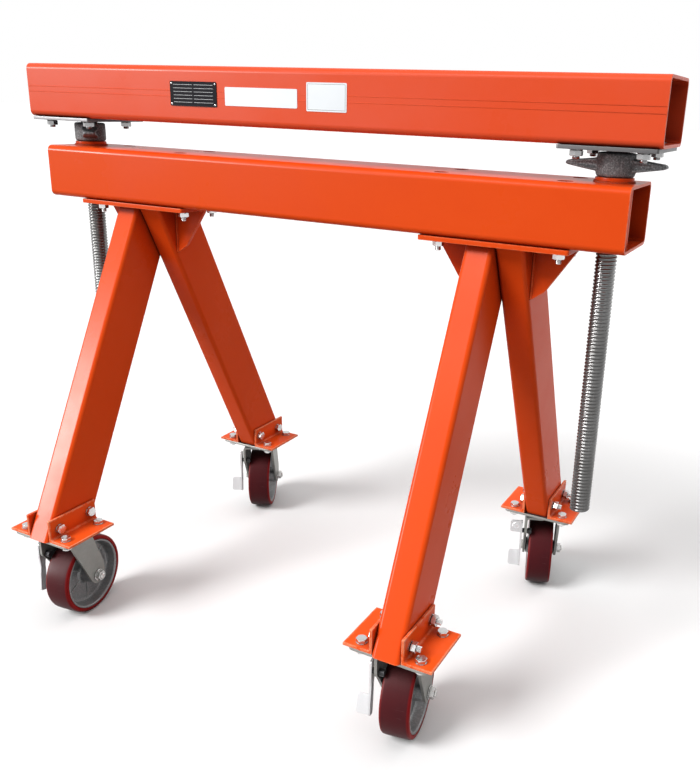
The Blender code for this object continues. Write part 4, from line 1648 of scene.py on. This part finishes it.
    def axle_bolt(self) -> Piece:
        """Hex head on the brake side, nut and thread end on the other."""
        sample, radius = BoltSet(across=self.nut_across), self.axle_radius
        seat, steps = self.fork_outer + HAIR, 28
        head = turn(sample.hexagon("axle_head", 0.0074, both=False), math.pi, "Y")
        nut = sample.hexagon("axle_nut", 0.0078, both=True)
        end = [(0, 0.0130), (0.0046, 0.0130), (radius, 0.0118), (radius, 0.0106), (0.0054, 0.0100),
               (radius, 0.0094), (radius, -0.010), (0, -0.010)]
        thread = turned("axle_thread", end, steps=steps)
        shank = drum("axle_shank", radius, -2 * seat, 0.0, steps)
        collar = flat_ring(radius, 0.0118, 0.0016, steps=36)
        places = ((head, -seat), (nut, seat + 0.0018), (thread, seat), (shank, seat), (collar, seat))
        return finished(joined("axle", [self._on_axle(obj, x) for obj, x in places]), FINE_EDGE, 1)

    def dark_washer(self) -> Piece:
        """Thrust washers between hub and fork."""
        places = (-self.fork_inner + 0.0001, self.fork_inner - 0.0010)
        pieces = [self._on_axle(flat_ring(0.0064, 0.0125, 0.0009), x) for x in places]
        return finished(joined("dark_washer", pieces))

    def _pad(self, name: str, start: Pair, end: Pair, width: float, inner_x: float) -> Piece:
        """A pressed foot pad with a round boss and a turned-down lip.

        Args:
            name: The pad's name.
            start: Its upper edge, Y and Z from the brake shaft.
            end: Its far edge.
            width: Its width along X.
            inner_x: The X of its edge on the strap.

        Returns:
            The new object.
        """
        line = Vector(end) - Vector(start)
        length, thick = line.length, 0.0035
        pad = block(name, (inner_x - width, -thick / 2, 0.0), (inner_x, thick / 2, length))
        with editing(pad):
            pick(pad, "EDGE", lambda edge: along(edge, 1) and edge.verts[0].co.x < inner_x - TINY)
            ease(0.005, 5)
        boss = turned("boss", [(0.0, 0.0011), (0.0035, 0.0011), (0.0045, 0.0004), (0.0052, 0.0004),
                               (0.0062, 0.0013), (0.0074, 0.0013), (0.0084, 0.0), (0.0, 0.0)], steps=36)
        shift(turn(boss, QUARTER, "X"), (inner_x - width / 2, -thick / 2 + 0.0002, length * 0.55))
        whole = finished(joined(name, [pad, boss]), SOFT_EDGE)
        return shift(turn(whole, math.atan2(line.y, line.x) - QUARTER, "X"), (0, *start))

    def pedal(self, upper: bool) -> Piece:
        """Waisted side strap with its lower foot pad, and the upper pad where it has one.

        Args:
            upper: Whether it has the upper pad.

        Returns:
            The new object.
        """
        outer_x, width = -(self.fork_outer + 0.009), 0.024
        outline = ((-0.009, 0.022), (0.008, 0.022), (0.0095, -0.004), (0.004, -0.026), (0.003, -0.050),
                   (0.000, -0.084), (-0.014, -0.080), (-0.011, -0.046), (-0.008, -0.026), (-0.010, -0.008))
        strap = finished(plate("strap", Plane.YZ, outline, outer_x, outer_x + 0.004, 0.0035), SOFT_EDGE)
        edge_x = outer_x + 0.002
        pieces = [strap, self._pad("lower_pad", (0.000, -0.048), (-0.010, -0.080), width, edge_x)]
        if upper:
            pieces.append(self._pad("upper_pad", (-0.006, -0.001), (-0.008, 0.027), width, edge_x))
        rivet = turned("brake_rivet", [(0, 0.0016), (0.003, 0.0014), (0.0048, 0.0006), (0.0056, -0.001),
                                       (0, -0.001)], steps=28)
        pieces.append(finished(shift(turn(rivet, -QUARTER, "Y"), (outer_x, 0, 0))))
        return joined("pedal", pieces)

    def cam(self) -> Piece:
        """Stub shaft through the pedal's cheek, with its cam inside."""
        start, end = -(self.fork_inner - 0.001), -(self.fork_inner - 0.010)
        far, radius, face, cam, ease = -(self.fork_outer + 0.0082), 0.005, 0.0060, 0.0065, 0.0005
        shaft = turned("cam", [(0, far), (radius, far), (radius, start), (face, start), (cam, start + ease),
                               (cam, end - ease), (face, end), (0, end)], steps=28)
        return turn(finished(shaft, 0.0004), QUARTER, "Y")

    def clear(self) -> None:
        """Drop the patterns."""
        discard(*self.shapes.values())


@dataclass
class Caster:
    """One braked swivel caster, stamped from the patterns at its own turn.

    Attributes:
        place: Its place's words, such as front_left.
        patterns: The shared shapes.
        joints: The frame's joints by name.
    """

    place: str
    patterns: CasterPatterns
    joints: dict[str, dict]

    def __post_init__(self) -> None:
        """Read the swivel's place and turn from the frame's joints."""
        swivel = self.joints[f"swivel_{self.place}_turn"]["pos_m"]
        axis = self.joints[f"wheel_{self.place}_spin"]["axis"]
        self.foot = Matrix.Translation(swivel)
        self.turned = self.foot @ Matrix.Rotation(math.atan2(axis[1], axis[0]), 4, "Z")

    def build(self) -> None:
        """Stamp the fixed pieces, the fork's, the wheel's and the brake's."""
        name, wheel = self.place, f"wheel_{self.place}"
        swivel, brake = f"swivel_{self.place}", f"brake_{self.place}"
        flat_plate(f"caster_plate_{name}", CASTER_ZINC, "stand", corner=0.008, steps=6, edge=PLATE_EDGE)
        on_axle = self.turned @ at(0, *self.patterns.axle)
        on_brake = self.turned @ at(0, *self.patterns.brake)
        pedal = "two_pads" if name == "back_right" else "pedal"
        self._stamp("race", self.foot, "stand", CASTER_ZINC, f"caster_race_{name}")
        self._stamp("fork", self.turned, swivel, CASTER_ZINC, f"fork_{name}")
        self._stamp("kingpin", self.turned, swivel, BOLT)
        self._stamp("axle", self.turned, swivel, BOLT, f"axle_{name}")
        self._stamp("dark_washer", self.turned, swivel, SPRING)
        self._stamp("core", on_axle, wheel, CORE, f"wheel_core_{name}")
        self._stamp("tyre", on_axle, wheel, TREAD, f"tyre_{name}")
        self._stamp(pedal, on_brake, brake, PEDAL, f"brake_pedal_{name}")
        self._stamp("cam", on_brake, brake, SPRING)

    def _stamp(self, shape: str, place: Matrix, body: str, finish: Finish, *nodes: str) -> None:
        """Stamp one pattern and fit it."""
        piece = stamped(self.patterns.shapes[shape], f"{shape}_{self.place}_piece", place)
        fitted(piece, finish, body, nodes)


# --- studio ---
@dataclass
class Studio:
    """Camera, soft lamps, white surroundings and floor.

    Attributes:
        eye: The camera from the lifting beam's centre.
        yaw: Its turn to the left of +Y, in radians.
        pitch: Its tilt down.
        roll: Its roll.
        lens: Focal length on a 36 mm long side.
        shift: Lens shift.
        ambient: Strength of the surroundings as light.
    """

    eye: Triple = (0.8448, -1.30845, -0.0035)
    yaw: float = 0.4465
    pitch: float = 0.3173
    roll: float = 0.037
    lens: float = 38.85
    shift: Pair = (-0.08456, -0.00845)
    ambient: float = 0.37

    def build(self) -> None:
        """Set the colour view, the camera, the world, the lamps and the floor."""
        bpy.context.scene.view_settings.view_transform = "Standard"
        self.camera()
        self.world()
        self.lamp("key_sun", (-0.36, -0.66, 0.66), 2.6, 24.0)
        self.lamp("top_sun", (0.05, -0.10, 1.0), 0.70, 60.0)
        self.lamp("sheen_sun", (-0.71, -0.67, 0.22), 7.0, 14.0, sheen=True)
        self.lamp("rim_sun", (0.45, 0.80, 0.40), 0.35, 40.0)
        self.floor()

    def camera(self) -> None:
        """Place the camera by its yaw, pitch and roll."""
        forward = Vector((-math.sin(self.yaw) * math.cos(self.pitch),
                          math.cos(self.yaw) * math.cos(self.pitch), -math.sin(self.pitch)))
        right = forward.cross(UP).normalized()
        up = right.cross(forward)
        cos_, sin_ = math.cos(self.roll), math.sin(self.roll)
        across, top = right * cos_ + up * sin_, up * cos_ - right * sin_
        data = bpy.data.cameras.new("studio_camera")
        data.lens, data.sensor_width, data.sensor_fit = self.lens, 36.0, "AUTO"
        data.shift_x, data.shift_y = self.shift
        data.clip_start, data.clip_end = 0.02, 200.0
        camera = bpy.data.objects.new("studio_camera", data)
        bpy.context.scene.collection.objects.link(camera)
        centre = middle("top_beam")
        turn_ = Matrix((across, top, -forward)).transposed().to_4x4()
        camera.matrix_world = Matrix.Translation(centre + Vector(self.eye)) @ turn_
        bpy.context.scene.camera = camera

    def _seen(self, graph: Graph) -> Socket:
        """1 for camera, glossy and transmission rays."""
        path = graph.node("LightPath")
        total = graph.math("ADD", path.outputs["Is Camera Ray"], path.outputs["Is Glossy Ray"])
        return graph.math("ADD", total, path.outputs["Is Transmission Ray"], clamp=True)

    def world(self) -> None:
        """White to the eye and in reflections, softer as light."""
        world = bpy.data.worlds.new("white_room")
        world.use_nodes = True
        bpy.context.scene.world = world
        graph = Graph(world.node_tree)
        background = world.node_tree.nodes["Background"]
        background.inputs["Color"].default_value = (1.0, 1.0, 1.0, 1.0)
        strength = graph.ranged(self._seen(graph), 0.0, 1.0, self.ambient, 1.0)
        world.node_tree.links.new(strength, background.inputs["Strength"])

    def lamp(self, name: str, towards: Triple, strength: float, spread: float, sheen: bool = False) -> None:
        """Add one soft sun.

        Args:
            name: The lamp's name.
            towards: Where it stands, seen from the object.
            strength: Its strength.
            spread: Its angular size in degrees.
            sheen: Whether it only shows in reflections.
        """
        data = bpy.data.lights.new(name, "SUN")
        data.energy, data.angle = strength, math.radians(spread)
        sun = bpy.data.objects.new(name, data)
        sun.visible_diffuse = not sheen
        sun.rotation_mode = "QUATERNION"
        sun.rotation_quaternion = Vector(towards).to_track_quat("Z", "Y")
        bpy.context.scene.collection.objects.link(sun)

    def floor(self) -> None:
        """A wide pale floor, darker to bounced light than to the eye."""
        floor = primitive("studio_floor", "plane", size=120.0)
        mat, graph, shader = new_material("studio_floor")
        shader.inputs["Roughness"].default_value = 0.9
        shader.inputs["Specular IOR Level"].default_value = 0.0
        colour = graph.mix(self._seen(graph), (0.30, 0.30, 0.30), (0.98, 0.98, 0.98))
        mat.node_tree.links.new(colour, shader.inputs["Base Color"])
        floor.data.materials.append(mat)


# --- assembly ---
def beam_drillings() -> tuple[list[Triple], list[Triple]]:
    """Where the lower beam is drilled.

    Returns:
        The bolt access holes and the sleeve bores, each as x, y and radius.
    """
    access = 0.0125
    holes, bores = [], []
    for side in Side:
        centre = middle(f"head_plate_{side.word}")
        holes += [(centre.x + x, centre.y + y, access) for x, y in corners(*HEAD_BOLTS)]
        low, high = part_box(f"guide_sleeve_{side.word}")
        centre = (low + high) / 2
        bores.append((centre.x, centre.y, (high.x - low.x) / 2 + HAIR))
    return holes, bores


def caster_offsets(joints: dict[str, dict]) -> tuple[Pair, Pair]:
    """The axle's and the brake shaft's places from the swivel, in its own frame.

    Args:
        joints: The frame's joints by name.

    Returns:
        (Y, Z) of the axle and of the brake shaft.
    """
    swivel = Vector(joints["swivel_front_left_turn"]["pos_m"])
    axis = joints["wheel_front_left_spin"]["axis"]
    back = Matrix.Rotation(-math.atan2(axis[1], axis[0]), 3, "Z")
    axle = back @ (Vector(joints["wheel_front_left_spin"]["pos_m"]) - swivel)
    brake = back @ (Vector(joints["brake_front_left_press"]["pos_m"]) - swivel)
    return (axle.y, axle.z), (brake.y, brake.z)


def main() -> None:
    """Build the trestle, then the studio."""
    logging.basicConfig(level=logging.INFO, format="%(name)s: %(message)s")
    joints = {joint["name"]: joint for joint in frame["joints"]}
    welder = Welder()
    small = BoltSet()
    thin = BoltSet(across=0.0165, head=0.0062, nut=0.0052, washer_thick=0.0013, stub=0.0030)
    large = BoltSet(radius=0.006, across=0.0185, head=0.0075, nut=0.0084, washer=0.012, washer_thick=0.0009,
                    stub=0.0045, finish=SHADED_JACK_FASTENER)
    for bolts in (small, thin, large):
        bolts.build()
    holes, bores = beam_drillings()
    BoxBeam("top_beam", "lifting_beam", seam=True, paint=TOP_BEAM_REFLECTION_TINT).build()
    BoxBeam("lower_beam", "stand", paint=LOW_PAINT, holes=holes, bores=bores).build()
    DataPlates().build()
    for side in Side:
        AFrame(side, small, thin, welder).build()
    ScrewJack(Side.LEFT, large, welder, wing_turn=-45.0).build()
    ScrewJack(Side.RIGHT, large, welder).build()
    axle, brake = caster_offsets(joints)
    patterns = CasterPatterns(axle, brake)
    patterns.build()
    for end in End:
        for side in Side:
            Caster(f"{end.word}_{side.word}", patterns, joints).build()
    patterns.clear()
    for bolts in (small, thin, large):
        bolts.clear()
    Studio().build()


if __name__ == "__main__":
    main()
